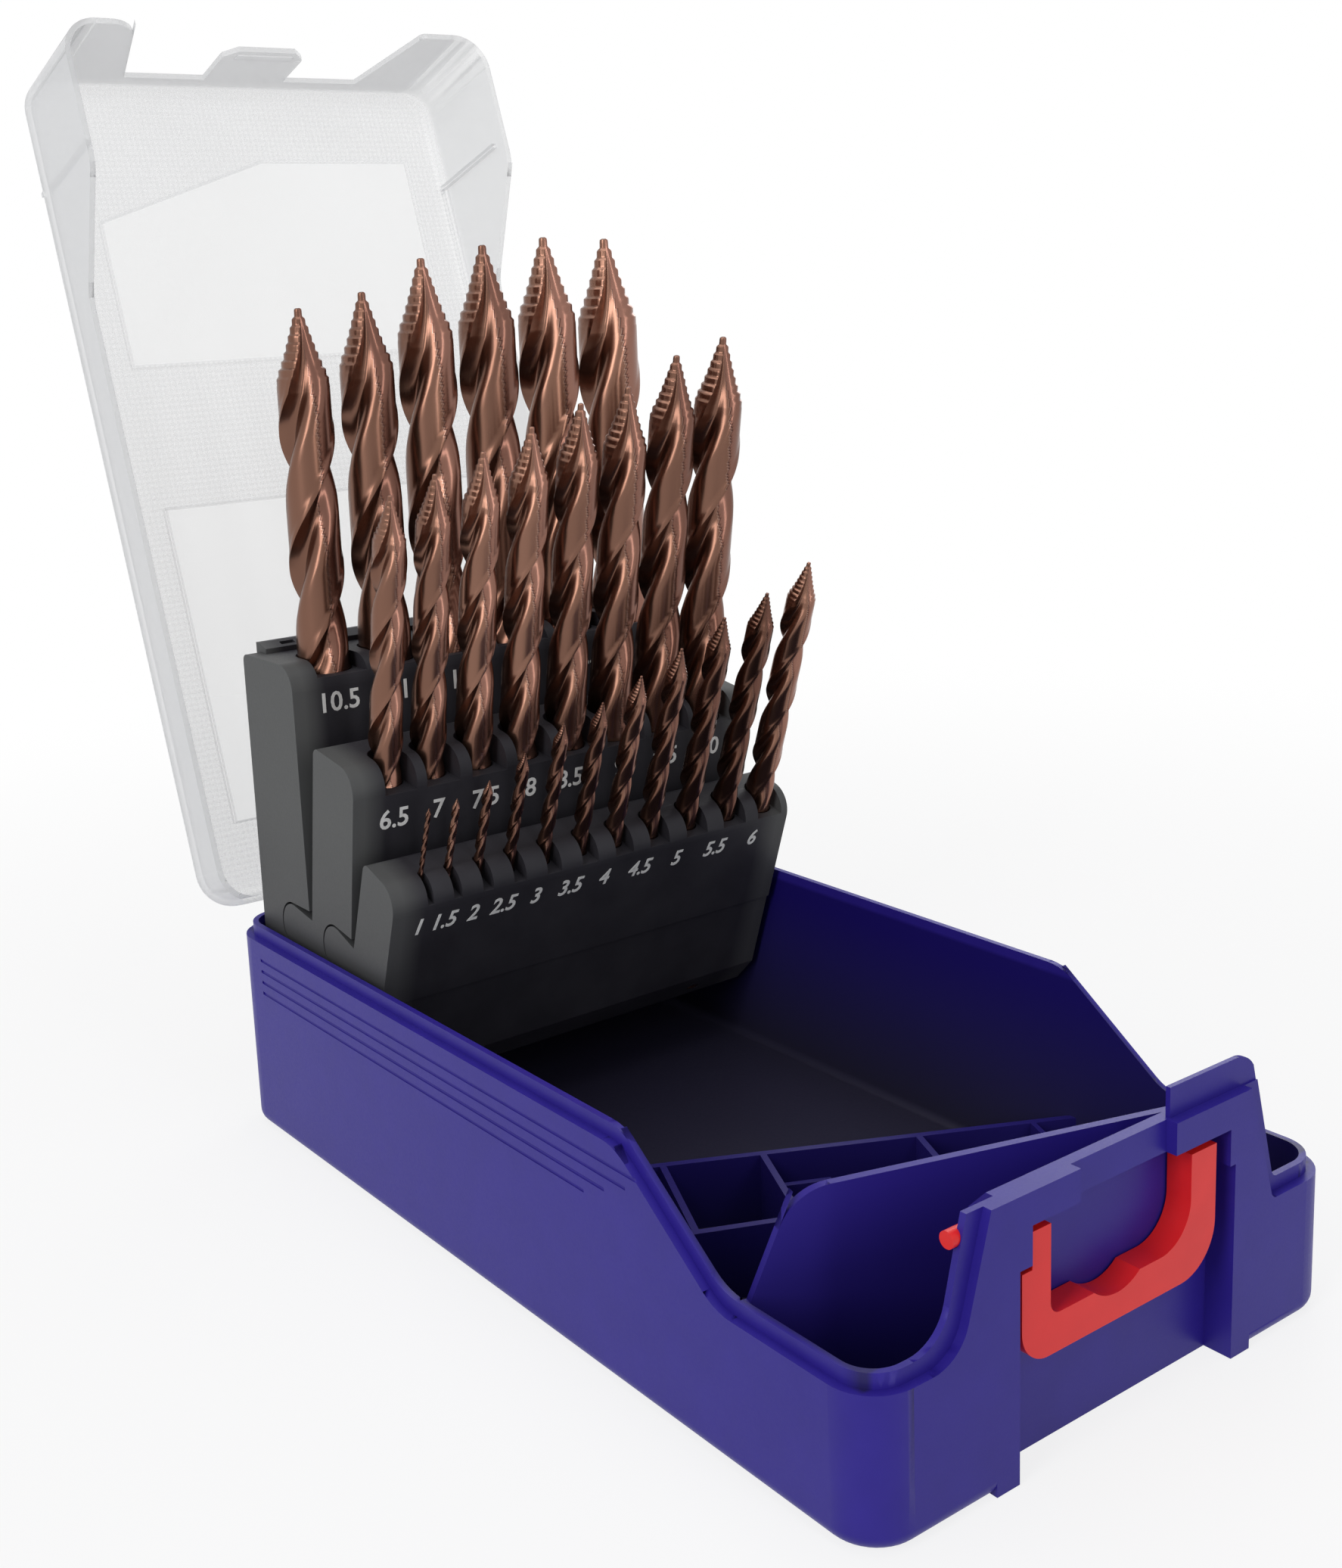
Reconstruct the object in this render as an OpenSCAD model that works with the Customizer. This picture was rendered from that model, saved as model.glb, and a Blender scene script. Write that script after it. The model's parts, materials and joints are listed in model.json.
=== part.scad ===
/* [Case] */
// Width of the case over its side walls, mm
case_w = 103; // [80:0.5:160]
// Length of the case from the front wall to the rear wall, mm
case_l = 185.6; // [150:0.2:260]
// Height of the closed case, mm
case_h = 55.6; // [45:0.1:80]
// Height of the tray's rim along the rear part of its sides, mm
rear_rim_z = 42.7; // [35:0.1:60]
// Height of the tray's rim at the front, mm
front_rim_z = 25.9; // [18:0.1:34]
// Where the side rim starts to slope down, mm in front of the tray's middle
slope_start = 38.5; // [20:0.5:60]
// Run of the sloping rim along the case, mm
slope_run = 23; // [16:0.5:40]
// Fillet radius at both ends of the sloping rim, mm
slope_r = 10; // [2:0.5:16]
// Radius of the case's upright corners, mm
corner_r = 8; // [5:0.5:20]

/* [Tray] */
// Thickness of the tray's walls, mm
tray_wall = 2.6; // [2:0.1:4]
// Thickness of the tray's floor, mm
tray_floor = 2; // [1.2:0.1:4]
// Width of the thin pads let into the tray's underside, mm
foot_pad_w = 14; // [8:1:18]
// Length of the pads, front to back, mm
foot_pad_l = 10; // [6:1:16]
// Thickness of the pads, mm
foot_pad_t = 0.8; // [0.4:0.1:1]
// Rounding along the tray's bottom edge, mm
bottom_edge = 2.5; // [1:0.1:5]
// Height of the inner lip above the outer ledge, mm
lip_h = 2.4; // [1:0.1:4]
// Width of the outer ledge, mm
ledge_w = 1.5; // [1:0.1:1.8]

/* [Tongue] */
// Width of the raised tongue at its foot, mm
tongue_foot_w = 69.2; // [60:0.2:90]
// Width of the raised tongue at its top, mm
tongue_top_w = 57.4; // [50:0.2:80]
// Height of the pads on top of the tongue, mm
pad_z = 43.6; // [40:0.1:48]
// Height of the thin wall behind the right pad, mm
crest_z = 48.4; // [45:0.1:53]
// Distance that this wall stands back from the lip's front, mm
crest_back = 0.3; // [0.1:0.1:0.5]
// Rounding of that wall's right corner, mm
crest_r = 5; // [1:0.5:7]
// Fillet radius at the tongue's left foot, mm
tongue_r = 7; // [2:0.5:12]
// Fillet radius at the tongue's right foot, mm
tongue_right_r = 1.5; // [1:0.1:6]
// Width that the tongue's inner wall stands out beside it, mm
tongue_lip = 2; // [1:0.1:2.6]
// Depth of the pads at their top, mm
pad_deep = 3.9; // [3.8:0.1:4.2]
// Width of the gap between the two pads, mm
pad_gap = 21.2; // [16:0.2:30]
// Depth that the bar between the pads is set back, mm
pad_setback = 1.9; // [1.5:0.1:2.5]
// Height of the underside of the bar, mm
bar_under_z = 38.5; // [36:0.1:40]

/* [Latch] */
// Distance from the middle to the left side of the channel that the latch lies in, mm
channel_left = 23; // [21:0.1:26]
// Distance from the middle to the channel's right side, mm
channel_right = 24.9; // [21:0.1:26]
// Distance from the middle to the left side of the channel's narrow upper part, mm
channel_top_left = 20.5; // [19:0.1:22]
// Distance from the middle to the right side of that part, mm
channel_top_right = 23.6; // [19:0.1:24]
// Height where the channel gets narrower, mm
channel_step_z = 32.5; // [28:0.1:36]
// Depth of the channel, mm
channel_depth = 5; // [4:0.1:7]
// Width of the latch's grip, mm
grip_w = 42.8; // [36:0.2:50]
// Distance that the grip sits left of the middle, mm
grip_shift = 0.9; // [0:0.1:1.2]
// Width of the latch's arms, mm
arm_w = 5.9; // [4:0.1:7]
// Height of the latch's lower edge, mm
grip_under_z = 17.2; // [12:0.1:20]
// Height of the grip's bar, mm
grip_bar = 6; // [4:0.1:8]
// Height where the arms step back behind the bar, mm
shoulder_z = 37.3; // [34:0.1:38]
// Outer rounding of the grip's left corner, mm
grip_r = 5.5; // [2:0.5:8]
// Outer rounding of the grip's right corner, mm
grip_right_r = 8; // [2:0.5:9]
// Distance of the grip's front face behind the tongue's, mm
grip_back = 0.3; // [0.1:0.1:1]
// Radius of the latch's hubs, mm
hub_r = 1.7; // [1.5:0.1:1.8]
// Radius of the latch's pivot ends, mm
trunnion_r = 1.3; // [1:0.05:1.5]
// Height of the latch's pivot, mm
latch_pivot_z = 40; // [39:0.1:41]

/* [Lid] */
// Thickness of the lid's walls, mm
lid_wall = 1.2; // [0.8:0.1:1.4]
// Thickness of the lid's panel, mm
lid_panel = 1.6; // [1:0.1:2.5]
// Rounding along the lid's outer edges, mm
lid_edge = 4; // [2:0.5:7]
// Angle that the lid stands open in this pose, degrees
lid_open = 109.1; // [0:0.1:110]
// Width of the lid's catch tab, mm
tab_w = 19.8; // [14:0.2:24]
// Height of the top of the lid's front opening in the closed case, mm
lid_cut_z = 48.2; // [45:0.1:52]
// Height of the catch tab's free end in the closed case, mm
tab_end_z = 33.8; // [30:0.1:37]
// Thickness of the ribs inside the lid's sides, mm
rib_t = 1; // [0.8:0.1:2]
// Distance from the tray's middle to those ribs, mm
rib_y = 67; // [62:0.5:75]

/* [Lid hinges] */
// Distance of the hinge axis behind the rear wall, mm
hinge_out = 2.6; // [2.5:0.1:4]
// Height of the hinge axis, mm
hinge_z = 41; // [40.6:0.1:44]
// Radius of the hinge knuckles, mm
knuckle_r = 2.2; // [1.6:0.1:2.4]
// Radius of the hinge pins, mm
hinge_pin_r = 0.9; // [0.6:0.05:1.2]
// Distance between the two hinges, mm
hinge_span = 64; // [50:1:80]
// Length of one hinge, mm
hinge_len = 16.4; // [12:0.2:20]
// Length of the lid's knuckle in each hinge, mm
lid_knuckle = 3.8; // [3:0.1:6]

/* [Blocks] */
// Gap between each end of the blocks and the tray's side wall, mm
block_gap = 1.9; // [1:0.1:4]
// Thickness of the rear block, mm
rear_t = 20.5; // [16:0.1:24]
// Thickness of the middle block, mm
middle_t = 15.5; // [13:0.1:18]
// Thickness of the front block, mm
front_t = 11.8; // [9:0.1:12.2]
// Height of the rear block's top, mm
rear_top_z = 97.7; // [90:0.1:105]
// Height of the middle block's top when it stands upright, mm
middle_top_z = 85.3; // [80:0.1:92]
// Height of the front block's top when it stands upright, mm
front_top_z = 71; // [66:0.1:78]
// Height of the blocks' undersides when they stand upright, mm
block_under_z = 22; // [18:0.1:30]
// Rounding of each block's front top edge, mm
block_r = 5; // [2:0.5:8]
// Distance from the rear wall to the rear block, mm
block_back = 5.8; // [5:0.1:10]
// Angle that the middle block leans forward of the rear one in this pose, degrees
middle_lean = 9.5; // [0:0.5:12]
// Angle that the front block leans forward of the middle one in this pose, degrees
front_lean = 9.5; // [0:0.5:12]
// Distance from the rear block's rear face to its pivot, mm
pivot_in = 15.5; // [14:0.1:17]
// Height of the rear block's pivot, mm
pivot_z = 36.5; // [34:0.1:38]
// Radius of the rear block's pivot pins, mm
pivot_pin_r = 1.5; // [1:0.1:2]
// Radius of the rounded ears that join the blocks, mm
ear_r = 4.5; // [3:0.1:5]
// Thickness of the ears, mm
ear_t = 2.6; // [2:0.1:3.5]
// Radius of the pins in the ears, mm
ear_pin_r = 1.4; // [1:0.1:2]

/* [Drills] */
// Distance from each block's front face to its drills when the walls allow, mm
rear_row_in = 8; // [7.8:0.1:9]
// The same for the middle block, mm
middle_row_in = 6.2; // [6.1:0.1:8]
// The same for the front block, mm
front_row_in = 4.8; // [4.1:0.1:6]
// Room around each drill in its bore, mm
bore_room = 0.15; // [0.1:0.01:0.3]
// Length of the pointed end over the drill's diameter
point_ratio = 1.5; // [0.6:0.1:2]
// Lead of the flutes over the drill's diameter
flute_lead = 5.4; // [4:0.1:7]

/* [Tray inserts] */
// Height of the tall divider, mm
divider_z = 40; // [30:0.5:42]
// Thickness of the divider and of the rack's walls, mm
divider_t = 1.4; // [1:0.1:2]
// Height of the low rack, mm
rack_z = 14.6; // [8:0.1:15]

/* [Hidden] */
$fn = 48;
run_fit = 0.05;
side_gap = 0.3;
half_w = case_w / 2;
half_l = case_l / 2;
in_w = half_w - tray_wall;
in_l = half_l - tray_wall;
block_w = 2 * (in_w - block_gap);
// places across are written for a case 103 mm wide, and spread or close up with it
across = case_w / 103;
slope_top_y = -slope_start;
slope_foot_y = -slope_start - slope_run;
slope_dir = [slope_run, rear_rim_z - front_rim_z];
lip_y = -half_l + ledge_w;
channel_y = -half_l + channel_depth;
channel_back = channel_y + 2.2;
latch_y = -half_l + 3;
channel_top_z = bar_under_z + 1.7;
crest_left = pad_gap / 2 + 0.6;
channel_top_w = channel_top_left + channel_top_right;
hub_room_w = 8;
hub_room_x = grip_w / 2 - 2.8;
hub_room_top = latch_pivot_z + hub_r + side_gap;
trunnion_left = tongue_top_w / 2 + 5.5;
trunnion_right = grip_w / 2 + 6;
hinge_y = half_l + hinge_out;
rear_back_y = half_l - block_back;
rear_front_y = rear_back_y - rear_t;
middle_back_y = rear_front_y - side_gap;
middle_front_y = middle_back_y - middle_t;
front_back_y = middle_front_y - side_gap;
front_front_y = front_back_y - front_t;
rear_row_y = rear_front_y + rear_row_in;
middle_row_y = middle_front_y + middle_row_in;
front_row_y = front_front_y + front_row_in;
pivot = [rear_back_y - pivot_in, pivot_z];
knuckle_1 = [rear_front_y + 7.2, 44.6];
knuckle_2 = [middle_front_y + 6.1, 47.2];
back_reach = half_l - tray_wall - 1.9 - pivot[0];
ear_in = block_w / 2 - ear_t;
pocket_in = ear_in - 0.2;
socket_in = pocket_in - 1;
divider_left = plan_point(-49.4, -62.9);
divider_right = plan_point(25.5, -85.6);
rack_rear_left = plan_point(-49.4, 8.8);
rack_rear_right = plan_point(49.4, -41.6);
rack_front_left = plan_point(-49.4, -20.1);
rack_front_right = plan_point(49.4, -64.4);
// a floor point, its place across the case following the case's width
function plan_point(x, y) = [across * x, y];
// each drill: diameter, place across the block, tip height, overall length
rear_drills = [
    [10.5, -35.8, 164.1, 133], [11, -22, 166.6, 142], [11.5, -8.4, 172.6, 142],
    [12, 6, 174.8, 151], [12.5, 20.8, 176, 151], [13, 36.2, 175.4, 151]
];
middle_drills = [
    [6.5, -36.8, 135, 101], [7, -27.6, 138, 109], [7.5, -17.4, 141.2, 109],
    [8, -6.9, 145, 117], [8.5, 4.1, 148.6, 117], [9, 15.1, 151, 125],
    [9.5, 26.4, 156.4, 125], [10, 37.8, 159.4, 133]
];
front_drills = [
    [1, -39, 85, 34], [1.5, -33.2, 85.7, 40], [2, -26.6, 88.1, 49],
    [2.5, -19.5, 92.4, 57], [3, -11.7, 97.3, 61], [3.5, -3.3, 100, 70],
    [4, 4.9, 104.2, 75], [4.5, 13.6, 108.6, 80], [5, 23, 113.7, 86],
    [5.5, 32.8, 117.5, 93], [6, 42.2, 122.8, 93]
];

// Turns a side outline drawn in Y and Z into a solid from x = a to x = b.
module along_x(a, b) {
    translate([a, 0, 0])
        rotate([90, 0, 90])
            linear_extrude(b - a)
                children();
}

// Turns a front outline drawn in X and Z into a solid from y = a to y = b.
module along_y(a, b) {
    translate([0, b, 0])
        rotate([90, 0, 0])
            linear_extrude(b - a)
                children();
}

// The sliver between a corner and an arc that rounds it off.
// The two edges leave the corner c along a and b.
module corner_bit(c, a, b, r) {
    ua = a / norm(a);
    ub = b / norm(b);
    turn = acos(ua * ub);
    t = r / tan(turn / 2);
    middle = (ua + ub) / norm(ua + ub);
    difference() {
        polygon([c, c + ua * t, c + ub * t]);
        translate(c + middle * r / sin(turn / 2))
            circle(r);
    }
}

// A block with round upright corners and a rounded bottom edge.
module soft_box(hx, hy, h, r, edge) {
    for (x = [-hx + r, hx - r]) {
        for (y = [-hy + r, hy - r]) {
            translate([x, y, 0])
                rotate_extrude() {
                    translate([0, edge])
                        square([r, h - edge]);
                    square([r - edge, h]);
                    translate([r - edge, edge])
                        intersection() {
                            circle(edge);
                            translate([0, -edge])
                                square([edge, 2 * edge]);
                        }
                }
        }
    }
    along_x(-hx + r, hx - r)
        edge_outline(hy, h, edge);
    along_y(-hy + r, hy - r)
        edge_outline(hx, h, edge);
}

module edge_outline(half, h, edge) {
    translate([-half, edge])
        square([2 * half, h - edge]);
    translate([-half + edge, 0])
        square([2 * (half - edge), h]);
    for (s = [-half + edge, half - edge]) {
        translate([s, edge])
            circle(edge);
    }
}

// A plain block with round upright corners.
module plate(hx, hy, h, r) {
    linear_extrude(h) {
        square([2 * hx, 2 * (hy - r)], center = true);
        square([2 * (hx - r), 2 * hy], center = true);
        for (x = [-hx + r, hx - r]) {
            for (y = [-hy + r, hy - r]) {
                translate([x, y])
                    circle(r);
            }
        }
    }
}

// Everything above the rim line lowered by drop, as a side outline.
module above_rim(drop) {
    hi = [slope_top_y, rear_rim_z - drop];
    lo = [slope_foot_y, front_rim_z - drop];
    difference() {
        union() {
            polygon([[-150, lo[1]], lo, hi, [150, hi[1]], [150, 150], [-150, 150]]);
            corner_bit(hi, [1, 0], -slope_dir, slope_r);
        }
        corner_bit(lo, [-1, 0], slope_dir, slope_r);
    }
}

// The tongue's front outline between z = foot and z = top, wider by grow.
module tongue_outline(foot, top, grow) {
    hf = tongue_foot_w / 2 + grow;
    ht = tongue_top_w / 2 + grow;
    polygon([[-hf, foot], [-ht, top], [ht, top], [hf, foot]]);
    for (side = [0, 1]) {
        mirror([side, 0])
            corner_bit([hf, foot], [1, 0], [ht - hf, top - foot], side == 0 ? tongue_right_r : tongue_r);
    }
}

// The thin inner wall of the tongue, which is tall behind the right pad.
module crest_outline() {
    ht = tongue_top_w / 2 + tongue_lip;
    steep = [tongue_foot_w / 2 - tongue_top_w / 2, front_rim_z - pad_z];
    difference() {
        intersection() {
            tongue_outline(front_rim_z, crest_z, tongue_lip);
            polygon([
                [-60, front_rim_z - 1], [-60, pad_z], [crest_left, pad_z], [crest_left, crest_z],
                [60, crest_z], [60, front_rim_z - 1]
            ]);
        }
        corner_bit([ht, crest_z], [-1, 0], steep, crest_r);
    }
}

module tray_cavity() {
    translate([0, 0, tray_floor])
        soft_box(in_w, in_l, 60, corner_r - tray_wall, 1.5);
}

// The solid behind the latch, from the front face to the channel's back wall.
module channel_box(z) {
    translate([-channel_left - tray_wall, -half_l, 0])
        cube([channel_left + channel_right + 2 * tray_wall, channel_back + half_l, z]);
}

module tray() {
    color("#3D3196") {
        difference() {
            union() {
                difference() {
                    soft_box(half_w, half_l, rear_rim_z, corner_r, bottom_edge);
                    along_x(-half_w - 1, half_w + 1)
                        above_rim(0);
                    difference() {
                        along_x(-half_w - 1, half_w + 1)
                            above_rim(lip_h);
                        plate(half_w - ledge_w, half_l - ledge_w, 60, corner_r - ledge_w);
                    }
                    tray_cavity();
                }
                along_y(-half_l, lip_y)
                    tongue_outline(front_rim_z - lip_h, pad_z, 0);
                along_y(lip_y, -half_l + tray_wall)
                    intersection() {
                        crest_outline();
                        translate([-60, 0])
                            square([120, pad_z]);
                    }
                along_y(lip_y + crest_back, -half_l + tray_wall)
                    crest_outline();
                channel_box(pad_z);
                // square feet beside the channel
                for (x = [-channel_left - 2.6, channel_right + 2.6]) {
                    translate([x - 2, -half_l, 0])
                        cube([4, 4, 4]);
                }
                // tray's hinge knuckles
                for (s = [-1, 1], e = [-1, 1]) {
                    knuckle_len = (hinge_len - lid_knuckle) / 2 - side_gap;
                    middle_x = s * hinge_span / 2 + e * (hinge_len - knuckle_len) / 2;
                    along_x(middle_x - knuckle_len / 2, middle_x + knuckle_len / 2) {
                        translate([hinge_y, hinge_z])
                            circle(knuckle_r);
                        polygon([
                            [half_l - 0.8, hinge_z - 8], [half_l - 0.8, hinge_z - 0.9],
                            [hinge_y, hinge_z], [hinge_y + knuckle_r, hinge_z],
                            [hinge_y + knuckle_r, hinge_z - 1.5]
                        ]);
                    }
                }
            }
            // latch channel, narrow at its top
            translate([-channel_left, -half_l - 1, -1])
                cube([channel_left + channel_right, channel_depth + 1, channel_step_z + 1]);
            translate([-channel_top_left, -half_l - 1, channel_step_z - 1])
                cube([channel_top_w, channel_depth + 1, bar_under_z - channel_step_z + 1]);
            // room in the pads for the latch's hubs, and the bores of its pivot ends
            for (s = [-1, 1]) {
                translate([-grip_shift + s * hub_room_x - hub_room_w / 2, -half_l + 1, bar_under_z - 1])
                    cube([hub_room_w, channel_depth - 1, hub_room_top - bar_under_z + 1]);
                translate([-grip_shift + s * grip_w / 2, latch_y, latch_pivot_z])
                    rotate([0, s * 90, 0])
                        cylinder(r = trunnion_r + run_fit, h = s > 0 ? 10 : 16);
            }
            // the pads and the bar slope down behind to the channel's back wall
            along_x(-half_w, half_w)
                polygon([
                    [-half_l + pad_deep, pad_z + 6], [-half_l + pad_deep, pad_z],
                    [channel_back, channel_top_z], [channel_back + 1, channel_top_z],
                    [channel_back + 1, pad_z + 6]
                ]);
            // front of the bar between the pads
            translate([-pad_gap / 2, -half_l - 1, bar_under_z - 1])
                cube([pad_gap, 1 + pad_setback, 20]);
            // hinge pin bores
            translate([-half_w, hinge_y, hinge_z])
                rotate([0, 90, 0])
                    cylinder(r = hinge_pin_r, h = case_w);
            // sockets for the rear block's pivot pins
            translate([-in_w - 1.6, pivot[0], pivot[1]])
                rotate([0, 90, 0])
                    cylinder(r = pivot_pin_r + run_fit, h = 2 * in_w + 3.2);
            // four fine grooves along each side
            for (s = [-1, 1], k = [0:3]) {
                translate([s * half_w, slope_top_y - 8 + 5.5 * k, rear_rim_z - lip_h - 3.6 - 2.3 * k])
                    rotate([-90, 0, 0])
                        cylinder(r = 0.3, h = half_l - corner_r - 4 - slope_top_y + 8 - 5.5 * k);
            }
            pad_places(0.1, 1);
        }
    }
}

// The four pads' boxes near the tray's corners, wider by grow and reaching below the floor by drop.
module pad_places(grow, drop) {
    for (x = [-1, 1], y = [-1, 1]) {
        pad_x = x * (half_w - 4.5 - foot_pad_w / 2);
        pad_y = y * (half_l - 8 - foot_pad_l / 2);
        translate([pad_x - foot_pad_w / 2 - grow, pad_y - foot_pad_l / 2 - grow, -drop])
            cube([foot_pad_w + 2 * grow, foot_pad_l + 2 * grow, foot_pad_t + drop]);
    }
}

module foot_pads() {
    color("#232326")
        pad_places(0, 0);
}

// An upright wall between two floor points, up to height z.
module wall_between(a, b, t, z) {
    d = b - a;
    translate([a[0], a[1], tray_floor - 0.2])
        rotate([0, 0, atan2(d[1], d[0])])
            translate([0, -t / 2, 0])
                cube([norm(d), t, z - tray_floor + 0.2]);
}

module divider() {
    along = divider_right - divider_left;
    color("#33297F")
        difference() {
            intersection() {
                tray_cavity();
                union() {
                    // tall divider behind the front compartment, low where it meets the side rim
                    difference() {
                        wall_between(divider_left, divider_right, divider_t, divider_z);
                        translate([divider_left[0], divider_left[1], 0])
                            rotate([0, 0, atan2(along[1], along[0])])
                                along_y(-3, 3)
                                    divider_end_cut();
                    }
                    wall_between(rack_rear_left, rack_rear_right, divider_t, rack_z);
                    wall_between(rack_front_left, rack_front_right, divider_t, rack_z);
                    // cross ribs of the rack
                    wall_between(plan_point(-18.9, -6.9), plan_point(-29.2, -29.2), 1.2, rack_z);
                    wall_between(plan_point(-2.8, -15.1), plan_point(-12.9, -36.6), 1.2, rack_z);
                    wall_between(plan_point(22.8, -28), plan_point(13.7, -48.4), 1.2, rack_z);
                    wall_between(plan_point(41.8, -38), plan_point(33.5, -57.4), 1, rack_z);
                    // holder plates of the rack
                    for (p = [[0.8, -22.5], [14.6, -29.4], [-3, -30.2], [10.4, -37]]) {
                        translate([across * p[0], p[1], tray_floor - 0.2])
                            rotate([0, 0, -26])
                                translate([-4.6, -0.6, 0])
                                    cube([9.2, 1.2, rack_z - 3.6 - tray_floor]);
                    }
                }
            }
            channel_box(60);
        }
}

// What is cut from the tall divider's left end.
module divider_end_cut() {
    foot = [2.5, 24.4];
    top = [9.5, divider_z];
    polygon([[-5, foot[1]], foot, top, [top[0], divider_z + 5], [-5, divider_z + 5]]);
    corner_bit(top, [1, 0], foot - top, 9);
}

module hinge_pins() {
    color("#9A9DA3")
        for (s = [-1, 1]) {
            translate([s * hinge_span / 2 - hinge_len / 2, hinge_y, hinge_z])
                rotate([0, 90, 0])
                    cylinder(r = hinge_pin_r, h = hinge_len);
        }
}

// Leans children forward by an angle about a line along X.
module lean(c, angle) {
    translate([0, c[0], c[1]])
        rotate([angle, 0, 0])
            translate([0, -c[0], -c[1]])
                children();
}

module lid() {
    color([0.91, 0.94, 0.96, 0.5])
        lean([hinge_y, hinge_z], -lid_open)
            closed_lid();
}

module closed_lid() {
    knuckle_half = lid_knuckle / 2;
    difference() {
        union() {
            difference() {
                translate([0, 0, case_h])
                    mirror([0, 0, 1])
                        soft_box(half_w, half_l, case_h - 20, corner_r, lid_edge);
                translate([0, 0, case_h - lid_panel])
                    mirror([0, 0, 1])
                        soft_box(half_w - lid_wall, half_l - lid_wall, case_h, corner_r - lid_wall,
                                 lid_edge - lid_wall);
            }
            // ribs inside the side walls
            for (s = [-1, 1]) {
                translate([s * (half_w - lid_wall - 0.3) - 0.9, -rib_y - rib_t / 2, front_rim_z + 1])
                    cube([1.8, rib_t, case_h - lid_panel - front_rim_z]);
            }
        }
        // the lid's walls end just above the tray's ledge
        difference() {
            translate([-half_w - 1, -half_l - 1, 0])
                cube([case_w + 2, case_l + 2, case_h + 1]);
            along_x(-half_w - 2, half_w + 2)
                above_rim(lip_h - side_gap);
        }
        // opening in the front wall for the tongue
        along_y(-half_l - 1, -half_l + lid_wall + 0.4)
            tongue_outline(front_rim_z - lip_h + side_gap, lid_cut_z, side_gap);
    }
    // catch tab
    along_y(-half_l, -half_l + lid_wall)
        difference() {
            polygon([
                [-tab_w / 2, tab_end_z + 3], [-tab_w / 2 + 3, tab_end_z],
                [tab_w / 2 - 3, tab_end_z], [tab_w / 2, tab_end_z + 3],
                [tab_w / 2, lid_cut_z + 2], [-tab_w / 2, lid_cut_z + 2]
            ]);
            corner_bit([tab_w / 2, tab_end_z + 3], [0, 1], [-3, -3], 2);
        }
    // small lip that snaps under the tray's bar
    translate([-tab_w / 2 + 3, -half_l + lid_wall - 0.1, tab_end_z + 1.6])
        cube([tab_w - 6, 0.4, 2]);
    // lid's hinge knuckles
    for (s = [-1, 1]) {
        difference() {
            along_x(s * hinge_span / 2 - knuckle_half, s * hinge_span / 2 + knuckle_half) {
                translate([hinge_y, hinge_z])
                    circle(knuckle_r);
                polygon([
                    [half_l - 0.6, hinge_z + 0.4], [half_l - 0.6, hinge_z + 5.5],
                    [hinge_y, hinge_z + knuckle_r], [hinge_y, hinge_z]
                ]);
            }
            translate([s * hinge_span / 2 - hinge_len / 2, hinge_y, hinge_z])
                rotate([0, 90, 0])
                    cylinder(r = hinge_pin_r + run_fit, h = hinge_len);
        }
    }
}

module latch() {
    out = grip_w / 2;
    in = out - arm_w;
    front = -half_l + grip_back;
    back = channel_y - side_gap;
    neck_front = -half_l + 1.9;
    // the left arm is narrower where the channel is
    neck_left = channel_top_left - grip_shift - side_gap;
    color("#E03A3A")
        translate([-grip_shift, 0, 0]) {
            along_y(front, back)
                difference() {
                    translate([-out, grip_under_z])
                        square([2 * out, shoulder_z - grip_under_z]);
                    corner_bit([-out, grip_under_z], [1, 0], [0, 1], grip_r);
                    corner_bit([out, grip_under_z], [-1, 0], [0, 1], grip_right_r);
                    translate([-out - 1, channel_step_z - 3 * side_gap])
                        square([out + 1 - neck_left, 20]);
                    difference() {
                        translate([-in, grip_under_z + grip_bar])
                            square([2 * in, 40]);
                        corner_bit([in, grip_under_z + grip_bar], [-1, 0], [0, 1], 7);
                        corner_bit([-in, grip_under_z + grip_bar], [1, 0], [0, 1], 2);
                    }
                    // finger dip in the middle of the grip
                    translate([-1.2, grip_under_z + grip_bar + 6.2])
                        circle(8);
                }
            for (x = [[-neck_left, -in], [in, out]]) {
                along_x(x[0], x[1]) {
                    translate([neck_front, shoulder_z - 2])
                        square([back - neck_front, latch_pivot_z - shoulder_z + 2]);
                    translate([latch_y, latch_pivot_z])
                        circle(hub_r);
                }
            }
            translate([-neck_left + 0.2, latch_y, latch_pivot_z])
                rotate([0, -90, 0])
                    cylinder(r = trunnion_r, h = trunnion_left - grip_shift - neck_left + 0.2);
            translate([out - 0.2, latch_y, latch_pivot_z])
                rotate([0, 90, 0])
                    cylinder(r = trunnion_r, h = trunnion_right - out + 0.2);
        }
}

// Side outline of a block between two faces, with a rounded front top edge.
module block_outline(y0, y1, z0, z1) {
    difference() {
        translate([y0, z0])
            square([y1 - y0, z1 - z0]);
        corner_bit([y0, z1], [1, 0], [0, -1], block_r);
        corner_bit([y1, z1], [-1, 0], [0, -1], 1.5);
    }
}

// A bore for one drill with its notch in the front top edge.
module drill_bore(d, x, base, row_y, top, face_y, notch) {
    translate([x, row_y, base - 0.2])
        cylinder(r = d / 2 + bore_room, h = top - base + 1);
    translate([x - d / 2 - bore_room, face_y - 1, top - notch])
        cube([d + 2 * bore_room, row_y - face_y + 1, notch + 1]);
}

// The ear that a block reaches back with to the pin at c.
module ear_outline(c, face_y) {
    translate(c)
        circle(ear_r);
    translate([face_y - 3, c[1] - ear_r])
        square([c[0] - face_y + 3, 2 * ear_r]);
}

// The pocket that lets that ear turn.
module ear_pocket(c, face_y) {
    translate(c)
        circle(ear_r + 0.4);
    translate([face_y - 1, c[1] - ear_r - 1.9])
        square([c[0] - face_y + 1, 2 * ear_r + 2.3]);
}

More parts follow.
